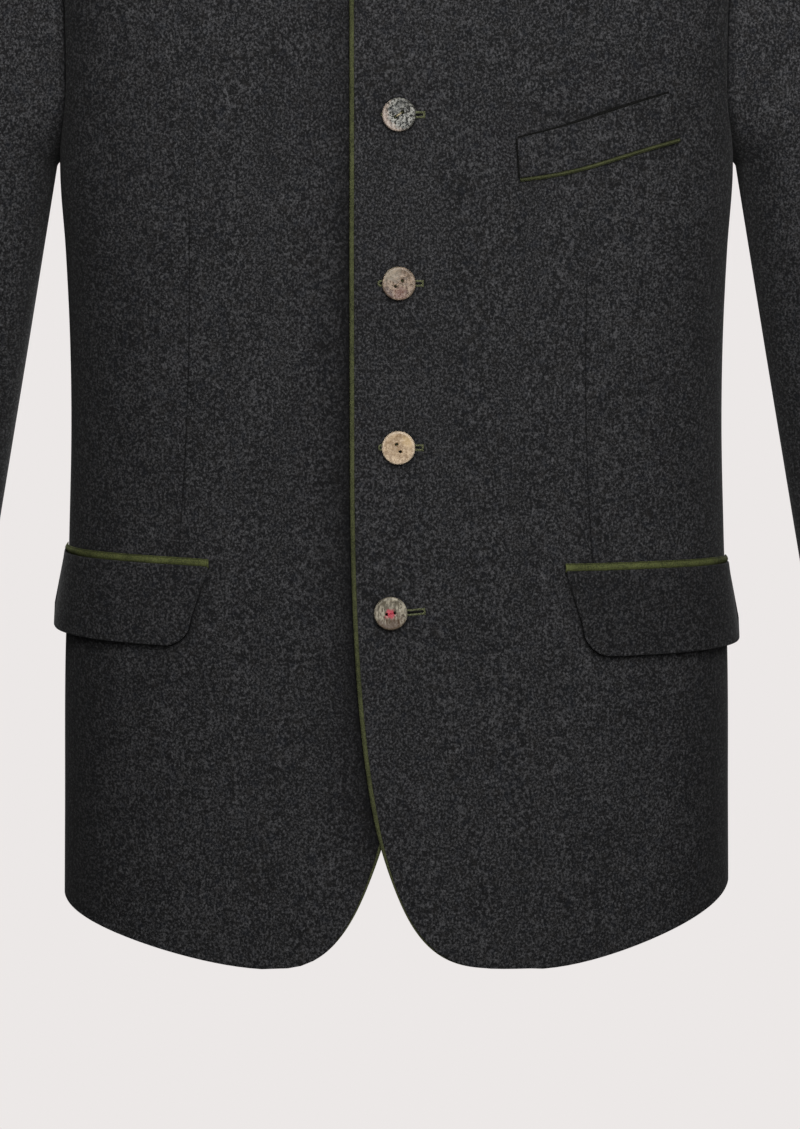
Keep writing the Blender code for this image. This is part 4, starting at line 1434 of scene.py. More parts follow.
@dataclass(frozen=True)
class HipPocket:
    """A pocket flap with a round front corner, and the green cord over it."""

    side: Side
    front_x: float
    front_z: float
    rear_z: float
    depth: float
    flat: Pair
    flat_area: float
    rear_drop: float
    tone: float
    thickness: float = 0.0022
    slant: float = 0.0105
    front_round: float = 0.018
    rear_round: float = 0.012
    flare: float = 0.0055
    front_flare: float = 0.30
    drop_from: float = 0.35
    rear_angle: float = math.radians(-1.0)
    # A painted highlight along the flap's rolled edge.
    painted_rim_highlight: float = 0.30
    painted_rim_highlight_reach: float = 0.0013
    # A strip of painted shadow in the gap under the flap's edge.
    shadow_front: float = 0.0017
    shadow_low: float = 0.0023
    shadow_turn: Pair = (0.10, 0.35)
    shadow_ends: Pair = (0.12, 0.10)
    shadow_end_size: float = 0.12
    shadow_profile: tuple[Triple, ...] = (
        # share of the width outwards, height over the front, how dark the painted shadow is
        (1.00, -0.0006, 0.00),
        (0.70, 0.0008, 0.55),
        (0.35, 0.0011, 1.00),
        (0.00, 0.0012, 1.00),
        (-0.40, 0.0012, 1.00),
        (-1.20, 0.0012, 1.00),
    )
    shadow_wall: float = 0.0006
    painted_shadow_tone: float = 0.04
    ground_tone: float = 0.85
    jet_width: float = 0.0050
    jet_height: float = 0.0020
    jet_overhang: float = 0.0010
    jet_fade_from: float = 0.72
    jet_rear_width: float = 0.75
    jet_rear_height: float = 0.40
    columns: int = 84
    rows: int = 30
    jet_rows: int = 10

    @property
    def name(self) -> str:
        """The flap's node."""
        return f"flap_{self.side.word}"

    @property
    def share(self) -> Array:
        """Shares across the pocket, from its front edge to its rear, as one row."""
        return np.linspace(0.0, 1.0, self.columns + 1)[None, :]

    @property
    def jet_rise(self) -> Array:
        """Shares up the cord, as one column."""
        return np.linspace(0.0, 1.0, self.jet_rows + 1)[:, None]

    def angles(self, front_x: Array | float, z: Array) -> Array:
        """Angles across the pocket, from its front edge to just past the side seam, closer at both ends."""
        first = TORSO.front_place(front_x, z)[..., 0]
        return between(first, self.rear_angle, (1.0 - np.cos(math.pi * self.share)) / 2)

    def drop(self) -> Array:
        """How far the cord and the flap's top edge hang below their straight line, towards the rear."""
        return self.rear_drop * smooth((self.share - self.drop_from) / (1.0 - self.drop_from))

    @cached_property
    def grid(self) -> tuple[Array, Array]:
        """Places of the flap and its gap to the front.

        It falls from the cord, shorter at its round corners, and stands off towards its rear.
        """
        down = tightened(self.rows)[::-1, None]
        start_z = between(self.front_z, self.rear_z, self.share) - self.jet_width / 2 - SEAM
        low_angle = self.angles(self.front_x + self.slant, start_z - self.depth)
        run = run_along(TORSO.points(TORSO.level_place(low_angle, start_z - self.depth))[0], 0)
        corners = rounded_corner(run, self.front_round) + rounded_corner(run[-1] - run, self.rear_round)
        fall = self.depth - corners[None, :]
        z = between(start_z - self.drop(), start_z - fall, down)
        angle = self.angles(self.front_x + self.slant * down, z)
        gap = LAID_GAP + self.flare * down * between(self.front_flare, 1.0, smooth(self.share))
        return TORSO.level_place(angle, z), gap

    def tone_with_painted_highlight(self) -> Array:
        """How light the flap is drawn, with a painted highlight along the rolled edge, in front and below.
        """
        points = TORSO.laid(*self.grid)
        near = np.minimum(run_along(points, 1), run_along(points, 0))
        return self.tone * (1.0 + self.painted_rim_highlight * bell(near, self.painted_rim_highlight_reach))

    def shadow(self) -> tuple[Shape, Array]:
        """A painted shadow in the gap along the flap's free edge: a strip of the front's cloth drawn dark,
        and how light it is drawn.

        It runs down the front edge and along the bottom, and goes into the front at its outer side.
        """
        places = self.grid[0]
        border = np.concatenate([places[:0:-1, 0], places[0]])
        shares = np.linspace(0.0, 1.0, 2 * self.columns)
        border = at_shares(border, TORSO.points(border), shares)
        line, normal = TORSO.points(border), TORSO.normal(*border.T)
        outward = unit(np.cross(np.gradient(line, axis=0), normal))
        turn_from, turn_to = self.shadow_turn
        first, last = self.shadow_ends
        full = smooth(shares / first) * smooth((1.0 - shares) / last)
        width = between(self.shadow_front, self.shadow_low, smooth((shares - turn_from) / (turn_to - turn_from)))
        width = width * between(self.shadow_end_size, 1.0, full)
        across, lift, dark = np.array(self.shadow_profile).T[..., None]
        outer = line + outward * (across * width)[..., None] + normal * lift[..., None]
        tone = between(self.ground_tone, self.painted_shadow_tone, dark) + np.zeros_like(width)
        return wall(outer, outer - normal * self.shadow_wall, 0.0, self.side), tone

    def jet(self) -> Shape:
        """The cord over the flap, half round, lower and flatter where it turns in to the side seam."""
        rear = smooth((self.share - self.jet_fade_from) / (1.0 - self.jet_fade_from))
        middle = between(self.front_z, self.rear_z, self.share) - self.drop()
        z = middle + self.jet_width * between(1.0, self.jet_rear_width, rear) * (self.jet_rise - 0.5)
        places = TORSO.level_place(self.angles(self.front_x - self.jet_overhang, z), z)
        height = half_round(self.jet_rise, self.jet_height) * between(1.0, self.jet_rear_height, rear)
        return TORSO.cloth(places, LAID_GAP + height, LAID_GAP, SEWN_RIM, self.side)

    def build(self, felt: Material, green: Material) -> None:
        """Makes the flap, a strip of painted shadow under its edge, and its cord.

        Args:
            felt: the cloth's material.
            green: the cord's material.
        """
        places, gap = self.grid
        shape = TORSO.cloth(places, gap + self.thickness, gap, FREE_RIM, self.side)
        # The inner and rim points carry the painted highlight in full.
        tone = np.full(len(shape.points), self.tone * (1.0 + self.painted_rim_highlight))
        tone[:gap.size] = self.tone_with_painted_highlight().ravel()
        flap = add_piece(f"{self.name}_cloth", shape, felt, Slot.LODEN, self.name, tone=tone)
        # A strip of painted shadow in the gap under the flap's edge.
        shape, tone = self.shadow()
        add_piece(f"{self.name}_gap", shape, felt, Slot.LODEN, tone=tone)
        # Distance from the cord's sewn edges, where the green felt paints shade.
        away = self.jet_width * np.minimum(self.jet_rise, 1.0 - self.jet_rise) + np.zeros_like(self.share)
        node = f"{self.name}_piping"
        cord = add_piece(f"{node}_felt", self.jet(), green, Slot.CORD, node, away)
        f"front_{self.side.word}"


@dataclass(frozen=True)
class BreastPocket:
    """The slanted welt on the left front and the thin cord along its lower edge."""

    flat: Pair
    inner_bottom: Pair = (0.0774, -0.2413)
    outer_bottom: Pair = (0.1768, -0.2167)
    outer_top: Pair = (0.1704, -0.1892)
    inner_top: Pair = (0.0758, -0.2171)
    thickness: float = 0.0020
    cord: float = 0.0021
    tone: float = 0.89
    low_sag: float = 0.0022
    top_sag: float = 0.0011
    sag_lean: float = 0.35
    # The mouth is a dark strip of painted shade; the side line is a dark seam.
    mouth: float = 0.0024
    mouth_ends: float = 0.60
    mouth_middle: float = 0.58
    mouth_reach: float = 0.24
    side_line: float = 0.0012
    strip_tuck: float = 0.4
    strip_rows: int = 4
    strip_top: float = 0.0013
    strip_low: float = 0.0006
    side_rows: int = 30
    columns: int = 60
    rows: int = 18
    cord_rows: int = 8

    def flat_points(self, across: Array | float, up: Array | float) -> tuple[Array, Array]:
        """The x and z of shares across the pocket and up it.

        Both long edges run between the corners and hang by sag * (sin(pi s) + lean * sin(2 pi s)).

        Args:
            across: shares from the inner side to the outer one.
            up: shares from the lower edge to the upper one.

        Returns:
            The x and the z of each share.
        """
        u, v = np.asarray(across)[..., None], np.asarray(up)[..., None]
        low = between(np.array(self.inner_bottom), np.array(self.outer_bottom), u)
        high = between(np.array(self.inner_top), np.array(self.outer_top), u)
        x, z = np.moveaxis(between(low, high, v), -1, 0)
        hang = np.sin(math.pi * across) + self.sag_lean * np.sin(2 * math.pi * across)
        return x, z - hang * between(self.low_sag, self.top_sag, up)

    def places(self, up: Array) -> Array:
        """Places on the pocket, at shares of its height."""
        return TORSO.front_place(*self.flat_points(tightened(self.columns)[None, :], up[:, None]))

    def strip(self, x: Array, z: Array) -> Shape:
        """A flat strip close over the front, on a grid of x and z."""
        return TORSO.cloth(TORSO.front_place(x, z), self.strip_top, self.strip_low, 0.0)

    def gap(self) -> Shape:
        """A dark strip of painted shade in the mouth along the top edge, a lens widest near its middle, and
        a dark seam line down one side.
        """
        spread = np.linspace(-self.strip_tuck, 1.0, self.strip_rows + 1)
        share = np.linspace(0.0, 1.0, self.columns + 1)[None, :]
        x, z = self.flat_points(share, 1.0)
        lens = between(self.mouth_ends, 1.0, bell(share - self.mouth_middle, self.mouth_reach))
        mouth = self.strip(x, z + self.mouth * lens * spread[:, None])
        x, z = self.flat_points(0.0, np.linspace(0.0, 1.0, self.side_rows + 1)[:, None])
        return mouth.joined(self.strip(x - self.side_line * spread[::-1], z))

    def build(self, felt: Material, green: Material, dark: Material) -> None:
        """Makes the welt, its cord and a dark strip of painted shade in the pocket's mouth.

        Args:
            felt: the cloth's material.
            green: the cord's material.
            dark: the material of the painted shade.
        """
        places = self.places(tightened(self.rows))
        shape = TORSO.cloth(places, LAID_GAP + self.thickness, LAID_GAP, SEWN_RIM)
        tone = np.full(len(shape.points), self.tone)
        welt = add_piece("breast_welt_cloth", shape, felt, Slot.LODEN, "breast_welt", tone=tone)
        height = self.inner_top[1] - self.inner_bottom[1]
        rise = np.linspace(0.0, 1.0, self.cord_rows + 1)
        places = self.places((self.cord * (rise - 1.0) - SEAM) / height)
        top = LAID_GAP + half_round(rise, self.cord)[:, None]
        shape = TORSO.cloth(places, top, LAID_GAP, SEWN_RIM)
        cord = add_piece("breast_welt_piping_felt", shape, green, Slot.CORD, "breast_welt_piping")
        # The pocket's mouth, a dark strip of painted shade.
        add_piece("breast_welt_painted_shade", self.gap(), dark, Slot.LODEN)


@dataclass(frozen=True)
class Button:
    """A two-hole antler button, a little dished, with the thread that holds it."""

    number: int
    x: float
    z: float
    hole_spacing: float
    hole_turn: float
    slit_from_x: float
    slit_to_x: float
    sewing: Thread
    antler: Antler
    slit_turn: float = 0.0
    radius: float = 0.0106
    thickness: float = 0.0040
    edge: float = 0.0010
    dish: float = 0.0003
    dish_share: float = 0.70
    hole_radius: float = 0.0010
    hole_bevel: float = 0.0002
    strands: int = 3
    strand_radius: float = 0.00018
    strand_apart: float = 0.00034
    strand_pinch: float = 0.35
    strand_lift: float = 0.00016
    strand_step: float = 0.00006
    strand_reach: float = 0.0002
    strand_bridge: float = 0.8
    strand_falls_from: float = 0.55
    strand_fall: float = 0.0022
    strand_sides: int = 8
    strand_points: int = 33
    arc_points: int = 48
    line_points: int = 24
    face_rows: int = 10
    edge_rows: int = 8

    @property
    def name(self) -> str:
        """The button's node."""
        return f"button_{self.number}"

    @cached_property
    def seat(self) -> tuple[Array, Array, Array, Array]:
        """Middle of the button's underside, and its directions across, up and out."""
        place = TORSO.front_place(self.x, self.z)
        out = TORSO.normal(*place)
        across = unit(np.cross((0.0, 0.0, 1.0), out))
        return TORSO.on_lap(place, SEAM), across, np.cross(out, across), out

    def placed(self, points: Array) -> Array:
        """Points of the jacket, from points in the button's own directions."""
        middle, across, up, out = self.seat
        return middle + points[..., :1] * across + points[..., 1:2] * up + points[..., 2:] * out

    def half_face(self) -> tuple[Array, Array]:
        """Rays from one hole to the edge of its half of the face.

        Returns:
            Directions of the rays and their lengths: to the circle, x^2 + y^2 = r^2, or to the middle line.
        """
        middle, reach = self.hole_spacing / 2, self.radius - self.edge
        corner = math.pi - math.atan2(reach, middle)
        arc = np.linspace(-corner, corner, self.arc_points)
        line = np.linspace(corner, 2 * math.pi - corner, self.line_points)[1:-1]
        turn = np.concatenate([arc, line])
        to_circle = -middle * np.cos(turn) + np.sqrt(reach ** 2 - (middle * np.sin(turn)) ** 2)
        to_line = middle / np.maximum(-np.cos(turn), TINY)
        length = np.where(np.arange(len(turn)) < self.arc_points, to_circle, to_line)
        return np.stack([np.cos(turn), np.sin(turn)], axis=-1), length

    def top(self, far: Array) -> Array:
        """Height of the face at a distance from the middle: flat at the edge, dished inside it."""
        run = self.radius * (1.0 - self.dish_share)
        return self.thickness - self.dish * smooth((self.radius - self.edge - far) / run)

    def shape(self) -> Shape:
        """The button: two half faces round the holes, above and below, and a rounded edge."""
        rays, length = self.half_face()
        middle = (self.hole_spacing / 2, 0.0)
        first = self.hole_radius + self.hole_bevel
        far = between(first, length, np.linspace(0.0, 1.0, self.face_rows + 1)[:, None])
        face = rays * far[..., None] + middle
        drill = np.broadcast_to(rays * self.hole_radius + middle, (2, len(rays), 2))
        upper = self.top(np.linalg.norm(face, axis=-1))
        drill_z = np.stack([np.zeros_like(length), upper[0] - self.hole_bevel])
        rows = np.concatenate([face[::-1], drill, face])
        heights = np.concatenate([np.zeros_like(upper), drill_z, upper])
        half = np.concatenate([rows, heights[..., None]], axis=-1)
        turn = np.linspace(0.0, math.pi, self.edge_rows + 1)[:, None]
        rim = face[-1, :self.arc_points]
        grown = rim * (1.0 + self.edge / np.linalg.norm(rim, axis=-1) * np.sin(turn))[..., None]
        rim_z = self.thickness / 2 * (1.0 + np.cos(turn)) + np.zeros(self.arc_points)
        band = np.concatenate([grown, rim_z[..., None]], axis=-1)
        ring = Shape(half.reshape(-1, 3), grid_faces(closed(numbered(half))).tolist())
        one = ring.joined(Shape(band.reshape(-1, 3), grid_faces(numbered(band)).tolist()))
        both = one.joined(Shape(one.points * (-1.0, -1.0, 1.0), one.faces))
        return Shape(self.placed(spun(both.points, self.hole_turn)), both.faces).turned_out()

    def strand(self, number: int) -> Shape:
        """One thread over the bridge between the holes: a tube along a low arch, down into both.

        Args:
            number: which thread, counted across the bridge.

        Returns:
            The thread's shape.
        """
        share = np.linspace(-1.0, 1.0, self.strand_points)
        reach = self.hole_spacing / 2 - self.hole_radius + self.strand_reach
        along = reach * np.sin(np.clip(share / self.strand_bridge, -1.0, 1.0) * math.pi / 2)
        aside = (number - (self.strands - 1) / 2) * self.strand_apart
        down = smooth((np.abs(share) - self.strand_falls_from) / (1.0 - self.strand_falls_from))
        lift = self.thickness - self.dish + self.strand_lift - self.strand_fall * down ** 2
        line = np.stack([along, aside * (1.0 - self.strand_pinch * np.abs(share)),
                         lift + self.strand_step * (number % 2)], axis=-1)
        forward = unit(np.gradient(line, axis=0))
        sideways = unit(np.cross(forward, (0.0, 0.0, 1.0)))
        turn = circle(self.strand_sides)
        rings = swept(line, sideways, np.cross(sideways, forward), self.strand_radius * np.cos(turn),
                      self.strand_radius * np.sin(turn))
        return tube(self.placed(spun(rings, self.hole_turn)))

    def build(self) -> None:
        """Makes the button and the thread that holds it."""
        centre = tuple(self.placed(np.array([0.0, 0.0, self.thickness])))
        finish = self.antler.material(f"{self.name}_antler", centre, self.radius)
        add_piece(f"{self.name}_disc", self.shape(), finish, Slot.ANTLER, self.name)
        sewn = self.strand(0)
        for number in range(1, self.strands):
            sewn = sewn.joined(self.strand(number))
        thread = bpy.data.materials.get(self.sewing.name) or self.sewing.material()
        add_piece(f"{self.name}_thread", sewn, thread, Slot.ANTLER)


@dataclass(frozen=True)
class Buttonhole:
    """A sewn buttonhole in the left front: a ring of close stitches round a slit, with a bar at its end."""

    number: int
    z: float
    from_x: float
    to_x: float
    turn: float
    half_height: float = 0.00145
    thread_width: float = 0.0013
    thread_height: float = 0.0006
    stitch: float = 0.0008
    ripple: float = 0.28
    foot: float = 0.0001
    sunk: float = 0.0004
    bar_height: float = 0.0044
    bar_width: float = 0.0010
    bar_ripple: float = 0.25
    bar_thickness: float = 0.00066
    slit_width: float = 0.0012
    slit_lift: float = 0.00012
    slit_ends: float = 0.01
    samples: int = 6
    across_points: int = 7
    bar_points: int = 33
    slit_points: int = 41
    slit_rows: int = 5

    @property
    def half_length(self) -> float:
        """Half the length of the buttonhole."""
        return (self.to_x - self.from_x) / 2

    def laid(self, along: Array, up: Array, height: Array | float) -> Array:
        """Points on the left front, from distances along the slit and up from it."""
        flat = np.stack(np.broadcast_arrays(along, up, 0.0), axis=-1)
        x, z, _ = np.moveaxis(spun(flat, self.turn), -1, 0)
        return TORSO.on_lap(TORSO.front_place(x + (self.from_x + self.to_x) / 2, z + self.z), height)

    def ring(self) -> Shape:
        """The stitches: a rippled half-round ridge along a stadium, two straights and two half circles."""
        straight = self.half_length - self.half_height
        arc = math.pi * self.half_height
        total = 4 * straight + 2 * arc
        count = int(total / self.stitch)
        run = np.linspace(0.0, total, count * self.samples, endpoint=False)
        first, second, third = 2 * straight, 2 * straight + arc, 4 * straight + arc
        stretches = [run < first, run < second, run < third]
        quarter = math.pi / 2
        turn = np.select(stretches, [-quarter, (run - first) / self.half_height - quarter, quarter],
                         quarter + (run - third) / self.half_height)
        middle = np.select(stretches, [run - straight, straight, straight - (run - second)], -straight)
        share = np.linspace(1.0, 0.0, self.across_points)[:, None]
        reach = self.half_height + self.thread_width * (share - 0.5)
        along, up = middle + reach * np.cos(turn), reach * np.sin(turn)
        ripple = between(1.0, np.cos(2 * math.pi * count * run / total), self.ripple)
        height = self.foot + self.thread_height * np.sin(math.pi * share) * ripple
        return wall(self.laid(along, up, height), self.laid(along, up, -self.sunk), 0.0, ring=True)

    def bar(self) -> Shape:
        """The bar across the outer end: a short half-round ridge with ripples up its length."""
        share = np.linspace(0.0, 1.0, self.across_points)[None, :]
        up = np.linspace(-0.5, 0.5, self.bar_points)[:, None] * self.bar_height
        along = self.half_length + self.bar_width * (share - 0.5)
        ripple = between(1.0, np.cos(2 * math.pi * up / self.stitch), self.bar_ripple)
        height = self.foot + self.bar_thickness * np.sin(math.pi * share) * ripple
        return wall(self.laid(along, up, height), self.laid(along, up, -self.sunk), 0.0)

    def slit(self) -> Shape:
        """The cut between the stitches, drawn as a dark sheet of painted shade, a narrow lens: width *
        sqrt(sin(pi s) + slit_ends).
        """
        share = np.linspace(0.0, 1.0, self.slit_points)[None, :]
        along = (share - 0.5) * (2 * self.half_length - self.thread_width)
        width = self.slit_width * np.sqrt(np.sin(math.pi * share) + self.slit_ends)
        up = np.linspace(-0.5, 0.5, self.slit_rows)[:, None] * width
        low = self.slit_lift - self.sunk
        return wall(self.laid(along, up, self.slit_lift), self.laid(along, up, low), 0.0)

    def build(self, thread: Material, dark: Material) -> None:
        """Makes the stitches and the slit.

        Args:
            thread: the stitches' material.
            dark: the slit's material, a painted shade.
        """
        name = f"buttonhole_{self.number}"
        add_piece(f"{name}_stitches", self.ring().joined(self.bar()), thread, Slot.CORD)
        # The slit is a dark sheet of painted shade.
        add_piece(f"{name}_slit", self.slit(), dark, Slot.LODEN)


def aimed(name: str, data: bpy.types.ID, place: Triple, aim: Triple) -> bpy.types.Object:
    """Puts a light or a camera into the scene.

    Args:
        name: its name.
        data: the light or camera.
        place: where it is.
        aim: what it faces.

    Returns:
        The new object.
    """
    made = bpy.data.objects.new(name, data)
    made.location = place
    made.rotation_euler = (Vector(aim) - Vector(place)).to_track_quat("-Z", "Y").to_euler()
    bpy.context.scene.collection.objects.link(made)
    return made


@dataclass(frozen=True)
class SoftBox:
    """A square soft light."""

    name: str
    place: Triple
    aim: Triple
    size: float
    power: float

    def build(self) -> None:
        """Puts the light up."""
        lamp = bpy.data.lights.new(self.name, "AREA")
        lamp.shape = "SQUARE"
        lamp.size = self.size
        lamp.energy = self.power
        aimed(self.name, lamp, self.place, self.aim)


@dataclass(frozen=True)
class Studio:
    """Camera, lights, the pale floor and the pale room."""

    pale: Triple = srgb(236, 232, 231)
    ambient: float = 0.02
    floor_z: float = -1.45
    floor_half: float = 60.0
    view_reach: float = 200.0
    camera_place: Triple = (0.0023, -3.1825, -0.1625)
    camera_aim: Triple = (0.0023, 0.0, -0.4970)
    image_height: float = 1129.0
    focal_pixels: float = 4888.0
    sensor: float = 36.0
    boxes: tuple[SoftBox, ...] = (
        # name, place, aim, size, power
        SoftBox("near_light", (0.10, -1.5, 0.28), (0.0, -0.1, -0.34), 0.8, 15.8),
        SoftBox("camera_light", (0.20, -3.3, -0.10), (0.0, -0.1, -0.50), 0.6, 16.4),
        SoftBox("right_light", (1.0, -2.0, 0.20), (0.0, -0.1, -0.50), 1.0, 4.4),
        SoftBox("back_light", (0.7, 2.7, 0.8), (0.0, 0.0, -0.4), 1.0, 34.0),
        SoftBox("back_top_light", (-0.4, 1.2, 1.7), (0.0, 0.1, -0.35), 0.8, 60.0),
    )

    def camera(self) -> None:
        """The camera at the photograph's angle, its long side upright."""
        lens = bpy.data.cameras.new("camera")
        lens.sensor_width = self.sensor
        lens.lens = self.sensor * self.focal_pixels / self.image_height
        lens.clip_end = self.view_reach
        bpy.context.scene.camera = aimed("camera", lens, self.camera_place, self.camera_aim)

    def floor(self) -> None:
        """A plain pale floor, as bright as the room."""
        made, graph = new_material("pale_floor")
        glow = graph.node("ShaderNodeEmission", inputs={"Color": self.pale, "Strength": 1.0})
        graph.node("ShaderNodeOutputMaterial", inputs={"Surface": glow})
        half = self.floor_half
        corners = np.array([(-half, -half), (half, -half), (half, half), (-half, half)])
        mesh = Shape(np.insert(corners, 2, self.floor_z, axis=1), [[0, 1, 2, 3]]).mesh("floor")
        mesh.materials.append(made)
        plane = bpy.data.objects.new("floor", mesh)
        plane.visible_diffuse = False
        plane.visible_glossy = False
        plane.visible_shadow = False
        bpy.context.scene.collection.objects.link(plane)

    def room(self) -> None:
        """The pale room: seen at full brightness, and a dimmer even light on the jacket."""
        world = bpy.data.worlds.new("room")
        world.use_nodes = True
        graph = Graph(world.node_tree)
        seen = graph.node("ShaderNodeLightPath", output="Is Camera Ray")
        dim = graph.node("ShaderNodeBackground", inputs={"Color": self.pale, "Strength": self.ambient})
        full = graph.node("ShaderNodeBackground", inputs={"Color": self.pale, "Strength": 1.0})
        both = graph.node("ShaderNodeMixShader", inputs={0: seen, 1: dim, 2: full})
        graph.node("ShaderNodeOutputWorld", inputs={"Surface": both})
        bpy.context.scene.world = world

    def build(self) -> None:
        """Sets the studio up."""
        bpy.context.scene.view_settings.view_transform = "Standard"
        self.camera()
        self.floor()
        self.room()
        for box in self.boxes:
            box.build()


FRONT_LEFT = FrontPanel(
    side=Side.LEFT, edge_x=-0.0262, cut_start_z=-0.405, low_x=0.088, cut_fullness=4.06, cut_droop=2.49,
    side_hem_z=-0.7015, dart=Dart((0.1198, -0.3060), (0.1194, -0.3850), (0.1240, -0.4830)),
    creases=(
        Crease((0.150, -0.140), (0.196, -0.262), 0.006, 0.016, -0.0014),
        Crease((0.020, -0.520), (0.070, -0.690), 0.008, 0.030, -0.0010),
        Crease((0.160, -0.560), (0.150, -0.700), 0.004, 0.022, -0.0011),
        Crease((0.060, -0.300), (0.030, -0.330), 0.000, 0.012, -0.0006),
    ),
    flat=(0.325, 0.800), flat_area=0.210, painted_side_shade=(0.0, 0.30),
)
FRONT_RIGHT = FrontPanel(
    side=Side.RIGHT, edge_x=-0.0170, cut_start_z=-0.392, low_x=0.081, cut_fullness=2.84, cut_droop=1.86,
    side_hem_z=-0.7105, dart=Dart((0.1301, -0.2640), (0.1313, -0.3687), (0.1380, -0.4800)),
    creases=(
        Crease((0.148, -0.150), (0.198, -0.270), 0.007, 0.018, -0.0015),
        Crease((0.050, -0.500), (0.080, -0.680), 0.006, 0.032, -0.0010),
        Crease((0.168, -0.550), (0.158, -0.690), 0.003, 0.020, -0.0010),
    ),
    flat=(0.315, 0.800), flat_area=0.203, painted_side_shade=(0.12, 0.26), under=FRONT_LEFT,
)
BACK = BackPanel(
    left_hem_z=FRONT_LEFT.side_hem_z, right_hem_z=FRONT_RIGHT.side_hem_z,
    creases=(
        Crease((-0.130, -0.405), (0.060, -0.392), 0.006, 0.014, -0.0034),
        Crease((-0.060, -0.442), (0.140, -0.430), -0.005, 0.013, -0.0028),
        Crease((-0.165, -0.120), (-0.150, -0.330), 0.010, 0.018, -0.0038),
        Crease((0.168, -0.130), (0.148, -0.310), -0.008, 0.017, -0.0034),
        Crease((-0.055, -0.470), (-0.070, -0.680), 0.006, 0.028, -0.0028),
        Crease((0.090, -0.480), (0.100, -0.660), -0.005, 0.024, -0.0022),
        Crease((-0.070, -0.075), (0.060, -0.070), 0.008, 0.012, -0.0018),
    ),
    flat=(0.585, 0.770), flat_area=0.385,
)
SLEEVE_CREASES = (
    # start, end, bow, width, depth, where across is the turn times the crease radius and up is z
    Crease((0.060, -0.395), (0.150, -0.425), 0.006, 0.010, -0.0030),
    Crease((0.050, -0.430), (0.140, -0.440), -0.004, 0.009, -0.0024),
    Crease((0.070, -0.462), (0.170, -0.488), 0.005, 0.011, -0.0026),
    Crease((0.230, -0.360), (0.320, -0.420), 0.006, 0.013, -0.0022),
    Crease((0.240, -0.470), (0.330, -0.500), -0.006, 0.012, -0.0020),
    Crease((0.110, -0.120), (0.060, -0.245), 0.006, 0.011, -0.0022),
    Crease((0.285, -0.110), (0.330, -0.240), -0.006, 0.012, -0.0024),
    Crease((0.190, -0.300), (0.215, -0.420), 0.004, 0.016, -0.0016),
    Crease((0.100, -0.560), (0.180, -0.590), 0.003, 0.010, -0.0014),
)
SLEEVES = tuple(Sleeve(side, SLEEVE_CREASES, flat=(0.430, 0.650), flat_area=0.199) for side in Side)
COLLAR = StandCollar(FRONT_LEFT.edge_x, FRONT_RIGHT.edge_x, flat=(0.498, 0.042), flat_area=0.0205)
POCKETS = (
    HipPocket(Side.LEFT, front_x=0.1078, front_z=-0.4871, rear_z=-0.4880, depth=0.0529,
              flat=(0.183, 0.054), flat_area=0.0086, rear_drop=0.0042, tone=0.66),
    HipPocket(Side.RIGHT, front_x=0.1195, front_z=-0.4848, rear_z=-0.4812, depth=0.0498,
              flat=(0.171, 0.051), flat_area=0.0075, rear_drop=0.0024, tone=0.83),
)
WELT = BreastPocket(flat=(0.105, 0.028))
CREAM_THREAD = Thread("cream_thread", srgb(196, 184, 152), srgb(132, 122, 96))
TAUPE_THREAD = Thread("taupe_thread", srgb(178, 158, 138), srgb(146, 126, 108))
BROWN_THREAD = Thread("brown_thread", srgb(190, 162, 130), srgb(142, 114, 86))
RED_THREAD = Thread("red_thread", srgb(224, 74, 94), srgb(160, 50, 64))
STITCH_THREAD = Thread("buttonhole_thread", srgb(122, 125, 92), srgb(60, 64, 40))
# A lighter copy of the cording's felt for the jets: painted light.
LIGHTER_JET_FELT = GreenFelt("jet_felt", srgb(53, 57, 32), srgb(105, 111, 66))
# Dark sheets of painted shade: the welt's mouth and the buttonholes' slits.
WELT_PAINTED_SHADE = Thread("welt_painted_shade", srgb(32, 32, 31), srgb(20, 20, 19), shine=0.0)
SLIT_PAINTED_SHADE = Thread("slit_painted_shade", srgb(22, 22, 20), srgb(14, 14, 13), shine=0.0)
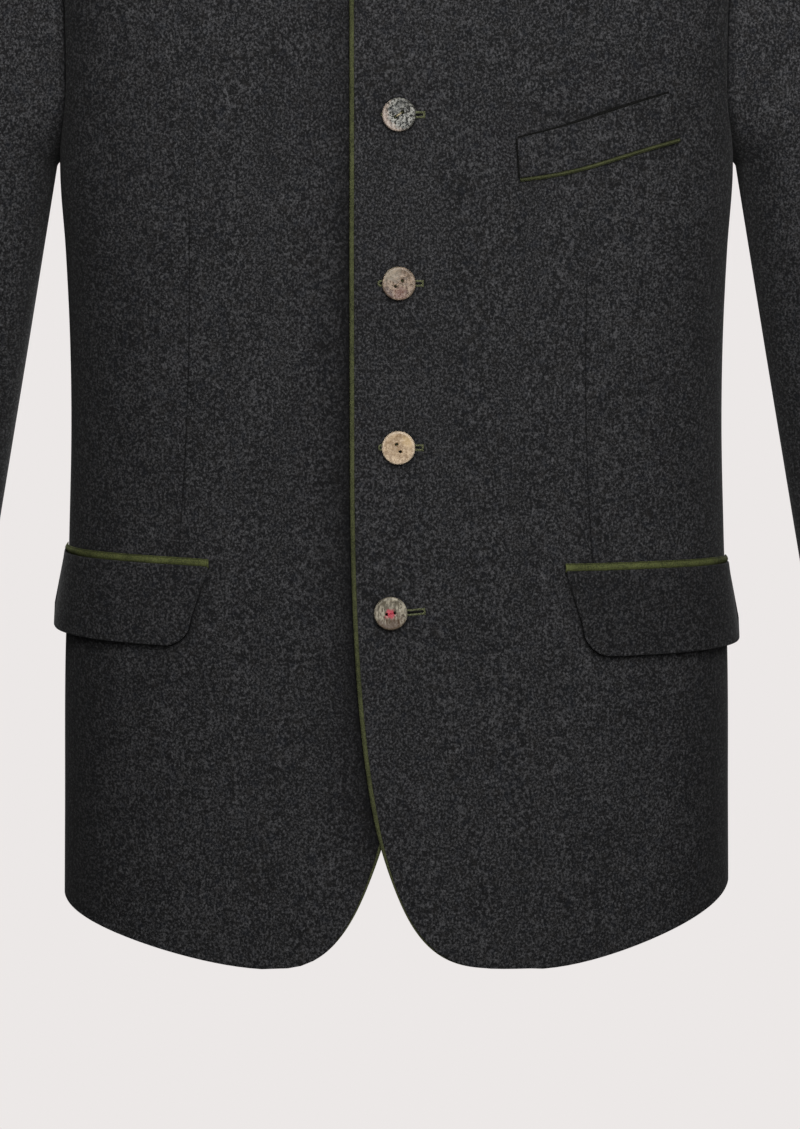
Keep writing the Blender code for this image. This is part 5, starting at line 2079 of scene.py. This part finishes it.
BUTTONS = (
    # number, x, z, hole spacing, hole turn, slit from x, slit to x, thread, antler
    # of a stain: at, size, softness, colour, strength
    Button(1, 0.0016, -0.0980, 0.0052, 25.0, -0.0095, 0.0170, TAUPE_THREAD, Antler(
        light=srgb(196, 178, 156), dark=srgb(150, 132, 112), pore=srgb(96, 80, 64), pore_share=0.4,
        rim=srgb(206, 194, 176), rim_share=0.3,
        stains=(Stain((-0.003, 0.003), 0.0050, 0.0030, srgb(150, 122, 100), 0.5),),
    )),
    Button(2, 0.0016, -0.2022, 0.0052, 34.0, -0.0090, 0.0175, CREAM_THREAD, Antler(
        light=srgb(166, 165, 156), dark=srgb(34, 36, 30), pore=srgb(18, 19, 15), pore_share=1.0,
        rim=srgb(170, 163, 153), rim_share=0.10,
        stains=(Stain((0.0022, 0.0052), 0.0062, 0.0036, srgb(44, 45, 39), 0.45),
                Stain((0.0046, 0.0022), 0.0138, 0.0034, srgb(190, 170, 155), 0.80, outside=True)),
    )),
    Button(3, 0.0016, -0.3072, 0.0054, 40.0, -0.0112, 0.0166, TAUPE_THREAD, Antler(
        light=srgb(171, 149, 128), dark=srgb(98, 80, 64), pore=srgb(56, 42, 31), pore_share=0.65,
        rim=srgb(178, 167, 150), rim_share=0.25,
        stains=(Stain((-0.0050, 0.0070), 0.0080, 0.0050, srgb(176, 165, 146), 0.50),
                Stain((0.0004, -0.0062), 0.0064, 0.0046, srgb(106, 60, 48), 0.70),
                Stain((-0.0082, -0.0080), 0.0064, 0.0040, srgb(70, 40, 30), 0.80)),
    )),
    Button(4, 0.0013, -0.4103, 0.0050, -63.0, -0.0108, 0.0166, BROWN_THREAD, Antler(
        light=srgb(216, 190, 156), dark=srgb(156, 128, 95), pore=srgb(118, 91, 63), pore_share=0.40,
        rim=srgb(236, 219, 196), rim_share=0.60,
        stains=(Stain((0.0060, 0.0044), 0.0050, 0.0034, srgb(226, 196, 147), 0.55),
                Stain((-0.0020, -0.0012), 0.0072, 0.0050, srgb(162, 135, 104), 0.60)),
    )),
    Button(5, -0.0035, -0.5147, 0.0051, 12.0, -0.0105, 0.0178, RED_THREAD, Antler(
        light=srgb(182, 173, 153), dark=srgb(98, 90, 73), pore=srgb(56, 49, 38), pore_share=0.70,
        rim=srgb(176, 170, 156), rim_share=0.20, combed=0.5,
        stains=(Stain((0.0010, -0.0125), 0.0156, 0.0092, srgb(82, 58, 36), 0.92),
                Stain((-0.0002, -0.0004), 0.0040, 0.0022, srgb(206, 66, 86), 0.85)),
    ), slit_turn=5.0),
)


def main() -> None:
    """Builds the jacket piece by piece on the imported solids."""
    logging.basicConfig(level=logging.INFO, format="%(name)s %(message)s")
    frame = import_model()
    LOG.info("%d solids", len(frame["nodes"]))
    Studio().build()
    # The jets get the lighter copy of the cording's felt, which is painted light.
    felt, green, jet = LodenFelt().material(), GreenFelt().material(), LIGHTER_JET_FELT.material()
    for front in (FRONT_LEFT, FRONT_RIGHT):
        front.build(felt, green)
    BACK.build(felt)
    for sleeve in SLEEVES:
        sleeve.build(felt)
    COLLAR.build(felt)
    for pocket in POCKETS:
        pocket.build(felt, jet)
    WELT.build(felt, green, WELT_PAINTED_SHADE.material())
    thread, dark = STITCH_THREAD.material(), SLIT_PAINTED_SHADE.material()
    for button in BUTTONS:
        button.build()
        hole = Buttonhole(button.number, button.z, button.slit_from_x, button.slit_to_x, button.slit_turn)
        hole.build(thread, dark)


if __name__ == "__main__":
    main()
